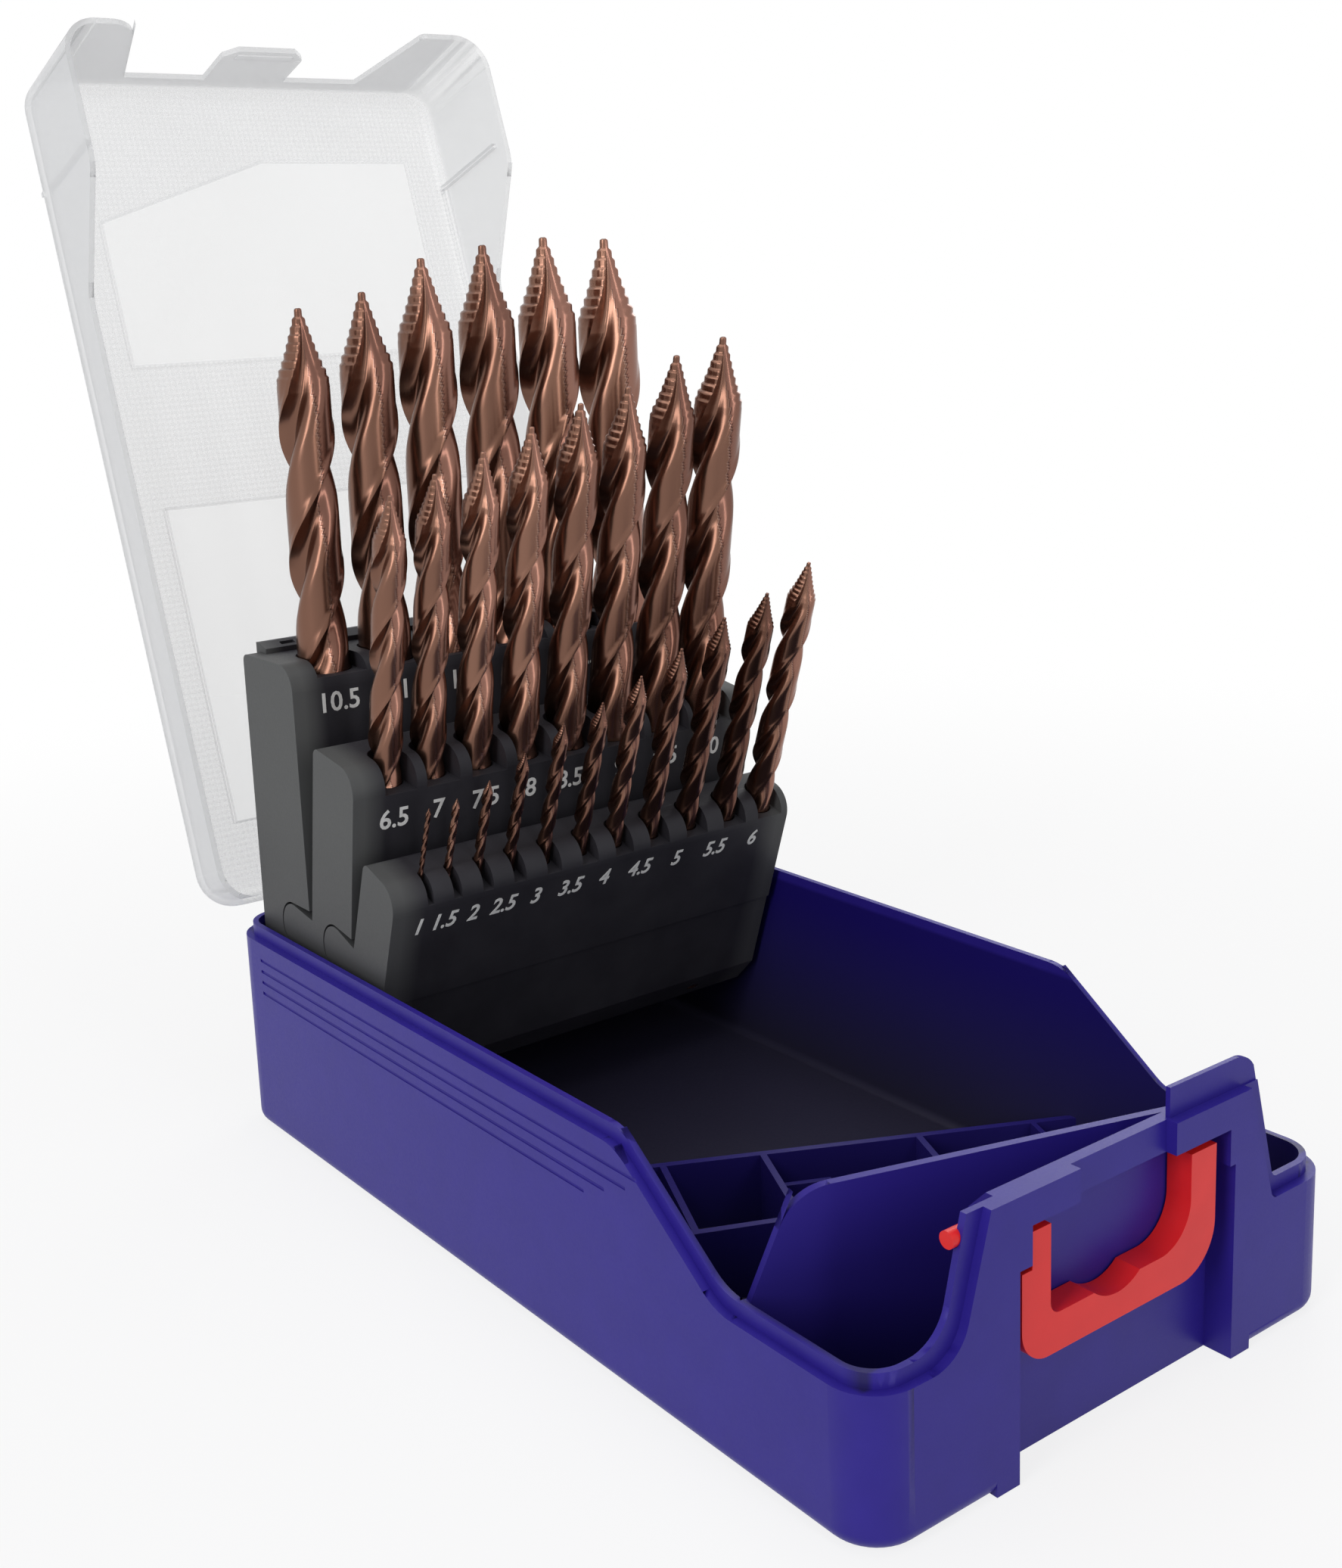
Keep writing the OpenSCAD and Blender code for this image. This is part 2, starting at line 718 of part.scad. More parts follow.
// What is cut from a block's back so that it can lean against its neighbour's front face.
module lean_relief(c, angle, face_y) {
    lean(c, -angle)
        along_x(-block_w / 2 - 1, block_w / 2 + 1)
            translate([face_y - side_gap, -50])
                square([60, 300]);
}

module both_ends(a, b) {
    along_x(a, b)
        children();
    along_x(-b, -a)
        children();
}

module upright_rear_block() {
    difference() {
        along_x(-block_w / 2, block_w / 2)
            difference() {
                block_outline(rear_front_y, rear_back_y, block_under_z, rear_top_z);
                // the lower rear edge is cut round so that it clears the tray
                difference() {
                    translate([pivot[0], block_under_z - 1])
                        square([30, pivot[1] - block_under_z + 1]);
                    translate(pivot)
                        circle(back_reach);
                }
            }
        for (p = rear_drills) {
            drill_bore(p[0], across * p[1], p[2] - p[3], rear_row_y, rear_top_z, rear_front_y, 3);
        }
        both_ends(pocket_in, block_w / 2 + 1)
            ear_pocket(knuckle_1, rear_front_y);
        both_ends(socket_in, pocket_in + 1)
            translate(knuckle_1)
                circle(ear_pin_r + run_fit);
        both_ends(socket_in + 0.1, block_w / 2 + 1)
            translate(pivot)
                circle(pivot_pin_r);
    }
}

module rear_block() {
    color("#2C2C2D")
        upright_rear_block();
}

module lift_strip() {
    color("#1F1F21")
        difference() {
            along_x(-block_w / 2 + 3, block_w / 2 - 3)
                polygon([
                    [rear_back_y - 1.5, rear_top_z - 1], [rear_back_y - 4.2, rear_top_z],
                    [rear_back_y - 4.2, rear_top_z + 1], [rear_back_y - 1.2, rear_top_z + 1.9],
                    [rear_back_y, rear_top_z + 1.9], [rear_back_y, rear_top_z - 1]
                ]);
            upright_rear_block();
            for (s = [-1, 0, 1]) {
                translate([s * (block_w / 2 - 8.5) - 1.5, rear_back_y - 3.2, rear_top_z - 3])
                    cube([3, 1.2, 8]);
            }
        }
}

module pivot_pins() {
    color("#2C2C2D")
        both_ends(socket_in + 0.1, in_w + 1.4)
            translate(pivot)
                circle(pivot_pin_r);
}

module upright_middle_block() {
    difference() {
        union() {
            difference() {
                along_x(-block_w / 2, block_w / 2)
                    block_outline(middle_front_y, middle_back_y, block_under_z, middle_top_z);
                lean_relief(knuckle_1, middle_lean, rear_front_y);
            }
            both_ends(ear_in, block_w / 2)
                ear_outline(knuckle_1, rear_front_y);
        }
        for (p = middle_drills) {
            drill_bore(p[0], across * p[1], p[2] - p[3], middle_row_y, middle_top_z, middle_front_y, 5.5);
        }
        both_ends(pocket_in, block_w / 2 + 1)
            ear_pocket(knuckle_2, middle_front_y);
        both_ends(socket_in, pocket_in + 1)
            translate(knuckle_2)
                circle(ear_pin_r + run_fit);
        both_ends(ear_in - 1, block_w / 2 + 1)
            translate(knuckle_1)
                circle(ear_pin_r);
    }
}

module middle_block() {
    color("#2C2C2D")
        lean(knuckle_1, middle_lean)
            upright_middle_block();
}

module ear_pins(c) {
    both_ends(socket_in + 0.1, block_w / 2)
        translate(c)
            circle(ear_pin_r);
}

module middle_pins() {
    color("#232325")
        lean(knuckle_1, middle_lean)
            ear_pins(knuckle_1);
}

module upright_front_block() {
    difference() {
        union() {
            difference() {
                along_x(-block_w / 2, block_w / 2)
                    difference() {
                        block_outline(front_front_y, front_back_y, block_under_z, front_top_z);
                        // the lower front edge is cut off so that it clears the floor
                        polygon([
                            [front_front_y - 1, block_under_z + 9],
                            [front_front_y, block_under_z + 7.5],
                            [front_front_y + 3.6, block_under_z], [front_front_y - 1, block_under_z - 1]
                        ]);
                        // shallow step across the lower face
                        translate([front_front_y - 1, block_under_z - 1])
                            square([1.4, 25]);
                    }
                lean_relief(knuckle_2, front_lean, middle_front_y);
            }
            both_ends(ear_in, block_w / 2)
                ear_outline(knuckle_2, middle_front_y);
        }
        for (p = front_drills) {
            drill_bore(p[0], across * p[1], p[2] - p[3], front_row_y, front_top_z, front_front_y, 4);
        }
        both_ends(ear_in - 1, block_w / 2 + 1)
            translate(knuckle_2)
                circle(ear_pin_r);
    }
}

module front_block() {
    color("#2C2C2D")
        lean(knuckle_1, middle_lean)
            lean(knuckle_2, front_lean)
                upright_front_block();
}

module front_pins() {
    color("#232325")
        lean(knuckle_1, middle_lean)
            lean(knuckle_2, front_lean)
                ear_pins(knuckle_2);
}

// Section of a drill with two flutes.
module flute_section(r) {
    polygon([
        for (s = [0, 180]) each [
            [r * cos(s - 38), r * sin(s - 38)],
            [r * cos(s + 2), r * sin(s + 2)],
            [r * cos(s + 40), r * sin(s + 40)],
            [0.4 * r * cos(s + 74), 0.4 * r * sin(s + 74)],
            [0.42 * r * cos(s + 112), 0.42 * r * sin(s + 112)]
        ]
    ]);
}

// One drill at its upright place: a round shank, then flutes and a pointed end.
// Drills under 4 mm stay plain between shank and point.
module drill(p, row_y, top) {
    r = p[0] / 2;
    point = point_ratio * p[0];
    base = p[2] - p[3];
    shank_top = top - 7;
    shoulder = p[2] - point;
    fluted = p[0] > 3.9;
    turn = 360 * (shoulder - shank_top) / (flute_lead * p[0]);
    point_turn = 360 * point / (flute_lead * p[0]);
    color("#96674E")
        translate([across * p[1], row_y, 0])
            if (fluted) {
                translate([0, 0, base])
                    cylinder(r = r, h = shank_top - base);
                translate([0, 0, shank_top - 0.5])
                    linear_extrude(shoulder - shank_top + 0.5, twist = -turn, slices = ceil(turn / 30),
                                   segments = 10)
                        flute_section(0.985 * r);
                translate([0, 0, shoulder - 0.3])
                    rotate([0, 0, turn * (1 - 0.3 / (shoulder - shank_top))])
                        linear_extrude(point + 0.3, twist = -point_turn, slices = 4, segments = 10,
                                       scale = 0.14)
                            flute_section(0.94 * r);
            } else {
                translate([0, 0, base])
                    cylinder(r = r, h = shoulder - base);
                translate([0, 0, shoulder])
                    cylinder(r1 = r, r2 = 0.14 * r, h = point);
            }
}

module rear_drill(k) {
    drill(rear_drills[k], rear_row_y, rear_top_z);
}

module middle_drill(k) {
    lean(knuckle_1, middle_lean)
        drill(middle_drills[k], middle_row_y, middle_top_z);
}

module front_drill(k) {
    lean(knuckle_1, middle_lean)
        lean(knuckle_2, front_lean)
            drill(front_drills[k], front_row_y, front_top_z);
}

tray();
divider();
foot_pads();
hinge_pins();
lid();
latch();
rear_block();
lift_strip();
pivot_pins();
middle_block();
middle_pins();
front_block();
front_pins();
front_drill(0);  // drill_1_0
front_drill(1);  // drill_1_5
front_drill(2);  // drill_2_0
front_drill(3);  // drill_2_5
front_drill(4);  // drill_3_0
front_drill(5);  // drill_3_5
front_drill(6);  // drill_4_0
front_drill(7);  // drill_4_5
front_drill(8);  // drill_5_0
front_drill(9);  // drill_5_5
front_drill(10);  // drill_6_0
middle_drill(0);  // drill_6_5
middle_drill(1);  // drill_7_0
middle_drill(2);  // drill_7_5
middle_drill(3);  // drill_8_0
middle_drill(4);  // drill_8_5
middle_drill(5);  // drill_9_0
middle_drill(6);  // drill_9_5
middle_drill(7);  // drill_10_0
rear_drill(0);  // drill_10_5
rear_drill(1);  // drill_11_0
rear_drill(2);  // drill_11_5
rear_drill(3);  // drill_12_0
rear_drill(4);  // drill_12_5
rear_drill(5);  // drill_13_0
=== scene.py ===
import json
import math
import bpy
import bmesh
from mathutils import Matrix, Vector
from mathutils.bvhtree import BVHTree

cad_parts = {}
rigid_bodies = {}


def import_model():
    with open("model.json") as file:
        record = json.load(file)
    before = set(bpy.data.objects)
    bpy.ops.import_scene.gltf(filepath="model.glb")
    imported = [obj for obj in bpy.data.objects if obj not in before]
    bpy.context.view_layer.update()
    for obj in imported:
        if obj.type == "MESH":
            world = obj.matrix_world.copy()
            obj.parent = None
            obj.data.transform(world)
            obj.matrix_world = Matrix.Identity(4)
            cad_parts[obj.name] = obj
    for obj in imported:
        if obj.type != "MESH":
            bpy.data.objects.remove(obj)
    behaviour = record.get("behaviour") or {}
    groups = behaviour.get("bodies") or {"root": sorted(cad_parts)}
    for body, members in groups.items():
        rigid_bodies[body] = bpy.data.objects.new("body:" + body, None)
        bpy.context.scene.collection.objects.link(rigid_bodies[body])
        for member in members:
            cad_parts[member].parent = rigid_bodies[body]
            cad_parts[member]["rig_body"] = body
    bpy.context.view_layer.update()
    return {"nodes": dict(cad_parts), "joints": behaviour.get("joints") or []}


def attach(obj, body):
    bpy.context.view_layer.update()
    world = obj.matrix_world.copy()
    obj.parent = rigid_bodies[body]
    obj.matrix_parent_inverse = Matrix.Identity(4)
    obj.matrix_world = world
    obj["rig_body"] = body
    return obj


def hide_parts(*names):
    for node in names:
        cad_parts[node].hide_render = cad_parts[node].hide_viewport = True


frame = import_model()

nodes = frame["nodes"]
print("frame loaded with", len(nodes), "solids")


def linearColour(hexCode):
    parts = [int(hexCode[i:i + 2], 16) / 255 for i in (1, 3, 5)]
    return tuple([p / 12.92 if p <= 0.04045 else ((p + 0.055) / 1.055) ** 2.4 for p in parts] + [1.0])


def addNode(tree, kind, sockets=None, **looks):
    # a socket takes a value, an output, or a node for its first output; looks are the node's own choices
    node = tree.nodes.new(kind)
    for name, value in looks.items():
        setattr(node, name, value)
    for socket, value in (sockets or {}).items():
        if isinstance(value, bpy.types.Node):
            value = value.outputs[0]
        if isinstance(value, bpy.types.NodeSocket):
            tree.links.new(value, node.inputs[socket])
        else:
            node.inputs[socket].default_value = value
    return node


def fillRamp(node, stops):
    ramp = node.color_ramp
    while len(ramp.elements) < len(stops):
        ramp.elements.new(0.5)
    for element, (place, colour) in zip(ramp.elements, stops):
        element.position = place
        element.color = linearColour(colour)


def fillCurve(node, points):
    curve = node.mapping.curves[0]
    while len(curve.points) < len(points):
        curve.points.new(0.5, 0.5)
    for point, place in zip(curve.points, points):
        point.location = place
        point.handle_type = "VECTOR"
    node.mapping.update()


# Camera, with its focal length and centre in pixels of the 1774 x 2072 picture
cameraPlace = {
    "azimuth": 36.292, "elevation": 11.666, "roll": -2.374, "place": (-0.201434, -0.251184, 0.166926),
    "focal": 2481.7, "centreX": 829.2, "centreY": 881.6, "width": 1774, "height": 2072, "sensor": 36.0,
    "clip": (0.01, 20.0),
}


def placeCamera(c):
    data = bpy.data.cameras.new("camera")
    data.sensor_fit = "VERTICAL"
    data.sensor_width = data.sensor_height = c["sensor"]
    data.lens = c["focal"] / c["height"] * c["sensor"]
    data.shift_x = (c["width"] / 2 - c["centreX"]) / c["height"]
    data.shift_y = (c["centreY"] - c["height"] / 2) / c["height"]
    data.clip_start, data.clip_end = c["clip"]
    a, e, r = (math.radians(c[k]) for k in ("azimuth", "elevation", "roll"))
    back = Vector((-math.sin(a) * math.cos(e), -math.cos(a) * math.cos(e), math.sin(e)))
    right = (-back).cross(Vector((0, 0, 1))).normalized()
    up = right.cross(-back)
    turned = math.cos(r) * right + math.sin(r) * up
    upright = -math.sin(r) * right + math.cos(r) * up
    camera = bpy.data.objects.new("camera", data)
    turn = Matrix((turned, upright, back)).transposed().to_4x4()
    camera.matrix_world = Matrix.Translation(c["place"]) @ turn
    bpy.context.scene.collection.objects.link(camera)
    bpy.context.scene.camera = camera


placeCamera(cameraPlace)
bpy.context.scene.view_settings.view_transform = "Standard"
print("camera placed")

# Studio: floor, soft boxes and a pale surround
studio = {
    "floorSize": 6.0, "floorDrop": 0.0002, "floorColour": "#ededee",
    "surround": "#f2f3f6", "surroundStrength": 0.34, "white": (1, 1, 1, 1),
    "shadowRoom": (0.16, 0.5),  # the floor is whitest past the second distance from the middle
    "shadowWhite": 0.82,  # how much of the seen floor is plain white within the first
    "boxes": [  # name, place, what it looks at, width, height, power
        ("keyBox", (-0.85, -0.25, 0.55), (0.0, 0.0, 0.06), 0.3, 0.8, 4.2),
        ("frontBox", (0.03, -0.95, 0.42), (0.0, 0.0, 0.09), 0.14, 0.8, 1.7),
        ("topBox", (0.05, 0.15, 0.95), (0.0, 0.02, 0.05), 0.7, 0.7, 2.6),
        ("rimBox", (0.75, 0.45, 0.5), (0.0, 0.0, 0.1), 0.3, 0.6, 1.4),
    ],
}


def backgroundSeen(tree):
    path = addNode(tree, "ShaderNodeLightPath").outputs
    direct = addNode(tree, "ShaderNodeMath", {0: path["Is Camera Ray"], 1: path["Is Glossy Ray"]},
                     operation="MAXIMUM")
    return addNode(tree, "ShaderNodeMath", {0: direct, 1: path["Is Transmission Ray"]}, operation="MAXIMUM")


def buildStudio(s):
    mesh = bpy.data.meshes.new("floor")
    half = s["floorSize"] / 2
    mesh.from_pydata([(-half, -half, 0), (half, -half, 0), (half, half, 0), (-half, half, 0)], [], [(0, 1, 2, 3)])
    floor = bpy.data.objects.new("floor", mesh)
    floor.location = (0, 0, -s["floorDrop"])
    bpy.context.scene.collection.objects.link(floor)
    material = bpy.data.materials.new("paleStudioFloor")
    material.use_nodes = True
    tree = material.node_tree
    tree.nodes.clear()
    matte = addNode(tree, "ShaderNodeBsdfDiffuse", {"Color": linearColour(s["floorColour"])})
    glow = addNode(tree, "ShaderNodeEmission", {"Color": s["white"], "Strength": 1.0})
    place = addNode(tree, "ShaderNodeTexCoord").outputs["Object"]
    away = addNode(tree, "ShaderNodeVectorMath", {0: place}, operation="LENGTH").outputs["Value"]
    near, far = s["shadowRoom"]
    white = addNode(tree, "ShaderNodeMapRange", {0: away, 1: near, 2: far, 3: s["shadowWhite"], 4: 1.0},
                    interpolation_type="SMOOTHSTEP")
    part = addNode(tree, "ShaderNodeMath", {0: backgroundSeen(tree), 1: white}, operation="MULTIPLY")
    mixed = addNode(tree, "ShaderNodeMixShader", {0: part, 1: matte, 2: glow})
    addNode(tree, "ShaderNodeOutputMaterial", {"Surface": mixed})
    mesh.materials.append(material)

    world = bpy.data.worlds.new("paleSurround")
    bpy.context.scene.world = world
    world.use_nodes = True
    tree = world.node_tree
    tree.nodes.clear()
    lit = addNode(tree, "ShaderNodeBackground", {"Color": linearColour(s["surround"]),
                                                 "Strength": s["surroundStrength"]})
    white = addNode(tree, "ShaderNodeBackground", {"Color": s["white"], "Strength": 1.0})
    mixed = addNode(tree, "ShaderNodeMixShader", {0: backgroundSeen(tree), 1: lit, 2: white})
    addNode(tree, "ShaderNodeOutputWorld", {"Surface": mixed})

    for name, place, target, width, height, power in s["boxes"]:
        light = bpy.data.lights.new(name, "AREA")
        light.shape = "RECTANGLE"
        light.size, light.size_y, light.energy = width, height, power
        lamp = bpy.data.objects.new(name, light)
        lamp.location = place
        aim = Vector(target) - Vector(place)
        lamp.rotation_euler = aim.to_track_quat("-Z", "Y").to_euler()
        bpy.context.scene.collection.objects.link(lamp)


buildStudio(studio)
print("studio built")


# In the materials a Mix node takes its share at 0 and two colours at 6 and 7, and gives the colour at 2;
# a Map Range node takes its value at 0, where that starts and ends at 1 and 2, and what it gives there at 3 and 4.
def startMaterial(name):
    material = bpy.data.materials.new(name)
    material.use_nodes = True
    tree = material.node_tree
    tree.nodes.clear()
    return material, tree, addNode(tree, "ShaderNodeTexCoord").outputs["Object"]


def addSurface(tree, f, colour, texture, height=None, **sockets):
    # the roughness follows the texture, and so does the bump where no height is given
    rough = addNode(tree, "ShaderNodeMapRange", {0: texture, 3: f["rough"][0], 4: f["rough"][1]})
    bump = addNode(tree, "ShaderNodeBump", {"Height": texture if height is None else height,
                                            "Strength": f["bump"], "Distance": f["depth"]})
    shader = addNode(tree, "ShaderNodeBsdfPrincipled", {
        "Base Color": colour, "Roughness": rough, "Normal": bump, **f.get("shader", {}), **sockets})
    addNode(tree, "ShaderNodeOutputMaterial", {"Surface": shader})


# Moulded polypropylene: an even satin sheen over a fine spark-eroded grain, with painted shade inside the tray
trayFinishWithPaintedShade = {
    # the inside colours are painted shade: near-black on the floor, deep blue higher up the inner walls
    "colour": "#30238f", "deep": "#291d82", "inside": "#2c2a3c", "insideWall": "#1c1268", "mottle": 0.006,
    "rough": (0.34, 0.5), "grain": 0.00045, "bump": 0.35, "depth": 0.00002, "shader": {"Specular IOR Level": 0.25},
    # where the painted shade inside starts and is whole, across each inner edge
    "innerX": (0.0499, 0.0489), "innerFront": (-0.0897, -0.0891), "innerBack": (0.0908, 0.0902),
    "innerFloor": (0.0012, 0.0018), "innerTop": (0.0412, 0.0404), "wallRise": (0.002, 0.038),
    # the latch channel, where the painted shade inside ends a little further back
    "channelLeft": (-0.0258, -0.0256), "channelRight": (0.0277, 0.0275), "channelDeep": 0.0042,
}
# painted shade on the divider too: dark at its foot, near the plain blue higher up
dividerFinishWithPaintedShade = {**trayFinishWithPaintedShade, "inside": "#1b1650", "insideWall": "#2f2388"}  # it stands up into the light


def bluePolypropylene(f):
    material, tree, place = startMaterial("bluePolypropylene")
    mottle = addNode(tree, "ShaderNodeTexNoise", {"Vector": place, "Scale": 1 / f["mottle"], "Detail": 3.0})
    outer = addNode(tree, "ShaderNodeMix", {0: mottle, 6: linearColour(f["deep"]), 7: linearColour(f["colour"])},
                    data_type="RGBA").outputs[2]
    x, y, z = addNode(tree, "ShaderNodeSeparateXYZ", {0: place}).outputs
    sideways = addNode(tree, "ShaderNodeMath", {0: x}, operation="ABSOLUTE")
    fromLeft, fromRight = (addNode(tree, "ShaderNodeMapRange", {0: x, 1: f[side][0], 2: f[side][1]})
                           for side in ("channelLeft", "channelRight"))
    channel = addNode(tree, "ShaderNodeMath", {0: fromLeft, 1: fromRight}, operation="MULTIPLY")
    front = addNode(tree, "ShaderNodeMath", {0: channel, 1: -f["channelDeep"], 2: y}, operation="MULTIPLY_ADD")
    # painted shade: inside the tray the colour turns near-black on the floor and deep blue up the inner walls
    inside = 1.0
    for name, where in (("innerX", sideways), ("innerFront", front), ("innerBack", y), ("innerFloor", z),
                        ("innerTop", z)):
        edge = addNode(tree, "ShaderNodeMapRange", {0: where, 1: f[name][0], 2: f[name][1]})
        inside = addNode(tree, "ShaderNodeMath", {0: inside, 1: edge}, operation="MULTIPLY")
    # the painted shade lightens from the floor up the inner walls
    rise = addNode(tree, "ShaderNodeMapRange", {0: z, 1: f["wallRise"][0], 2: f["wallRise"][1]})
    paintedShadeColour = addNode(tree, "ShaderNodeMix", {0: rise, 6: linearColour(f["inside"]),
                                            7: linearColour(f["insideWall"])}, data_type="RGBA").outputs[2]
    colour = addNode(tree, "ShaderNodeMix", {0: inside, 6: outer, 7: paintedShadeColour}, data_type="RGBA").outputs[2]
    grain = addNode(tree, "ShaderNodeTexNoise", {"Vector": place, "Scale": 1 / f["grain"], "Detail": 2.0})
    addSurface(tree, f, colour, grain)
    return material


# Moulded black polystyrene: matt grain, with painted light on the ends of each block, a lighter grey that is lightest
# towards the top
blockFinishWithPaintedLight = {
    "colour": "#28272c", "worn": "#323136", "mottle": 0.01, "wornFrom": (0.35, 0.75),
    # the end colours are painted light: the ends are lighter grey than the fronts and lightest towards the top
    "end": "#525353", "endLow": "#434345", "endX": (0.04, 0.0445), "endZ": (0.03, 0.07),
    "rough": (0.42, 0.6), "grain": 0.0004, "bump": 0.5, "depth": 0.000025, "shader": {"Specular IOR Level": 0.2},
}


def blackPolystyrene(f):
    material, tree, place = startMaterial("blackPolystyrene")
    mottle = addNode(tree, "ShaderNodeTexNoise", {"Vector": place, "Scale": 1 / f["mottle"], "Detail": 3.0})
    worn = addNode(tree, "ShaderNodeMapRange", {0: mottle, 1: f["wornFrom"][0], 2: f["wornFrom"][1]})
    face = addNode(tree, "ShaderNodeMix", {0: worn, 6: linearColour(f["colour"]), 7: linearColour(f["worn"])},
                   data_type="RGBA").outputs[2]
    x, y, z = addNode(tree, "ShaderNodeSeparateXYZ", {0: place}).outputs
    sideways = addNode(tree, "ShaderNodeMath", {0: x}, operation="ABSOLUTE")
    # painted light: the ends are lighter grey, lightest towards the top
    onEnd = addNode(tree, "ShaderNodeMapRange", {0: sideways, 1: f["endX"][0], 2: f["endX"][1]})
    high = addNode(tree, "ShaderNodeMapRange", {0: z, 1: f["endZ"][0], 2: f["endZ"][1]})
    end = addNode(tree, "ShaderNodeMix", {0: high, 6: linearColour(f["endLow"]), 7: linearColour(f["end"])},
                  data_type="RGBA").outputs[2]
    colour = addNode(tree, "ShaderNodeMix", {0: onEnd, 6: face, 7: end}, data_type="RGBA").outputs[2]
    grain = addNode(tree, "ShaderNodeTexNoise", {"Vector": place, "Scale": 1 / f["grain"], "Detail": 2.0})
    addSurface(tree, f, colour, grain)
    return material


# Moulded red acetal: glossier and smoother than the tray
latchFinish = {
    "colour": "#f02a28", "deep": "#dc1f1f", "mottle": 0.008,
    "rough": (0.27, 0.4), "grain": 0.0005, "bump": 0.3, "depth": 0.00001, "shader": {"Specular IOR Level": 0.35},
}


def redAcetal(f):
    material, tree, place = startMaterial("redAcetal")
    mottle = addNode(tree, "ShaderNodeTexNoise", {"Vector": place, "Scale": 1 / f["mottle"], "Detail": 2.0})
    colour = addNode(tree, "ShaderNodeMix", {0: mottle, 6: linearColour(f["deep"]), 7: linearColour(f["colour"])},
                     data_type="RGBA").outputs[2]
    grain = addNode(tree, "ShaderNodeTexNoise", {"Vector": place, "Scale": 1 / f["grain"], "Detail": 2.0})
    addSurface(tree, f, colour, grain)
    return material


# Clear polypropylene, moulded against a dimpled steel face: milky, with a fine lattice and two plain panels
lidFinish = {
    "colour": "#c9cbcd", "milk": "#ffffff", "panel": "#f6f7f7",
    "hinge": (0.0954, 0.041), "open": 109.1,  # the hinge line's y and z, and degrees
    "topZ": (0.0524, 0.0528),  # the dimples are on the top face alone
    "panels": [(-0.0395, 0.0425, -0.0752, -0.0268), (-0.0395, 0.0395, 0.0048, 0.0756)],  # left, right, front, back
    "corner": (0.0145, 0.0431),  # the first panel's cut corner: how far back it starts and how far across it runs
    "soft": 0.0006, "line": 0.22,  # a panel's raised edge: its width and how milky it is
    "pitch": 0.0018, "diagonal": 0.7071, "dots": (-0.6, 0.6), "dotted": 0.09,
    "facing": (0.25, 1.0), "faceOn": 0.2, "edgeOn": 0.9,
    "rough": (0.26, 0.42), "haze": 60.0, "bump": 0.6, "depth": 0.0001,
}


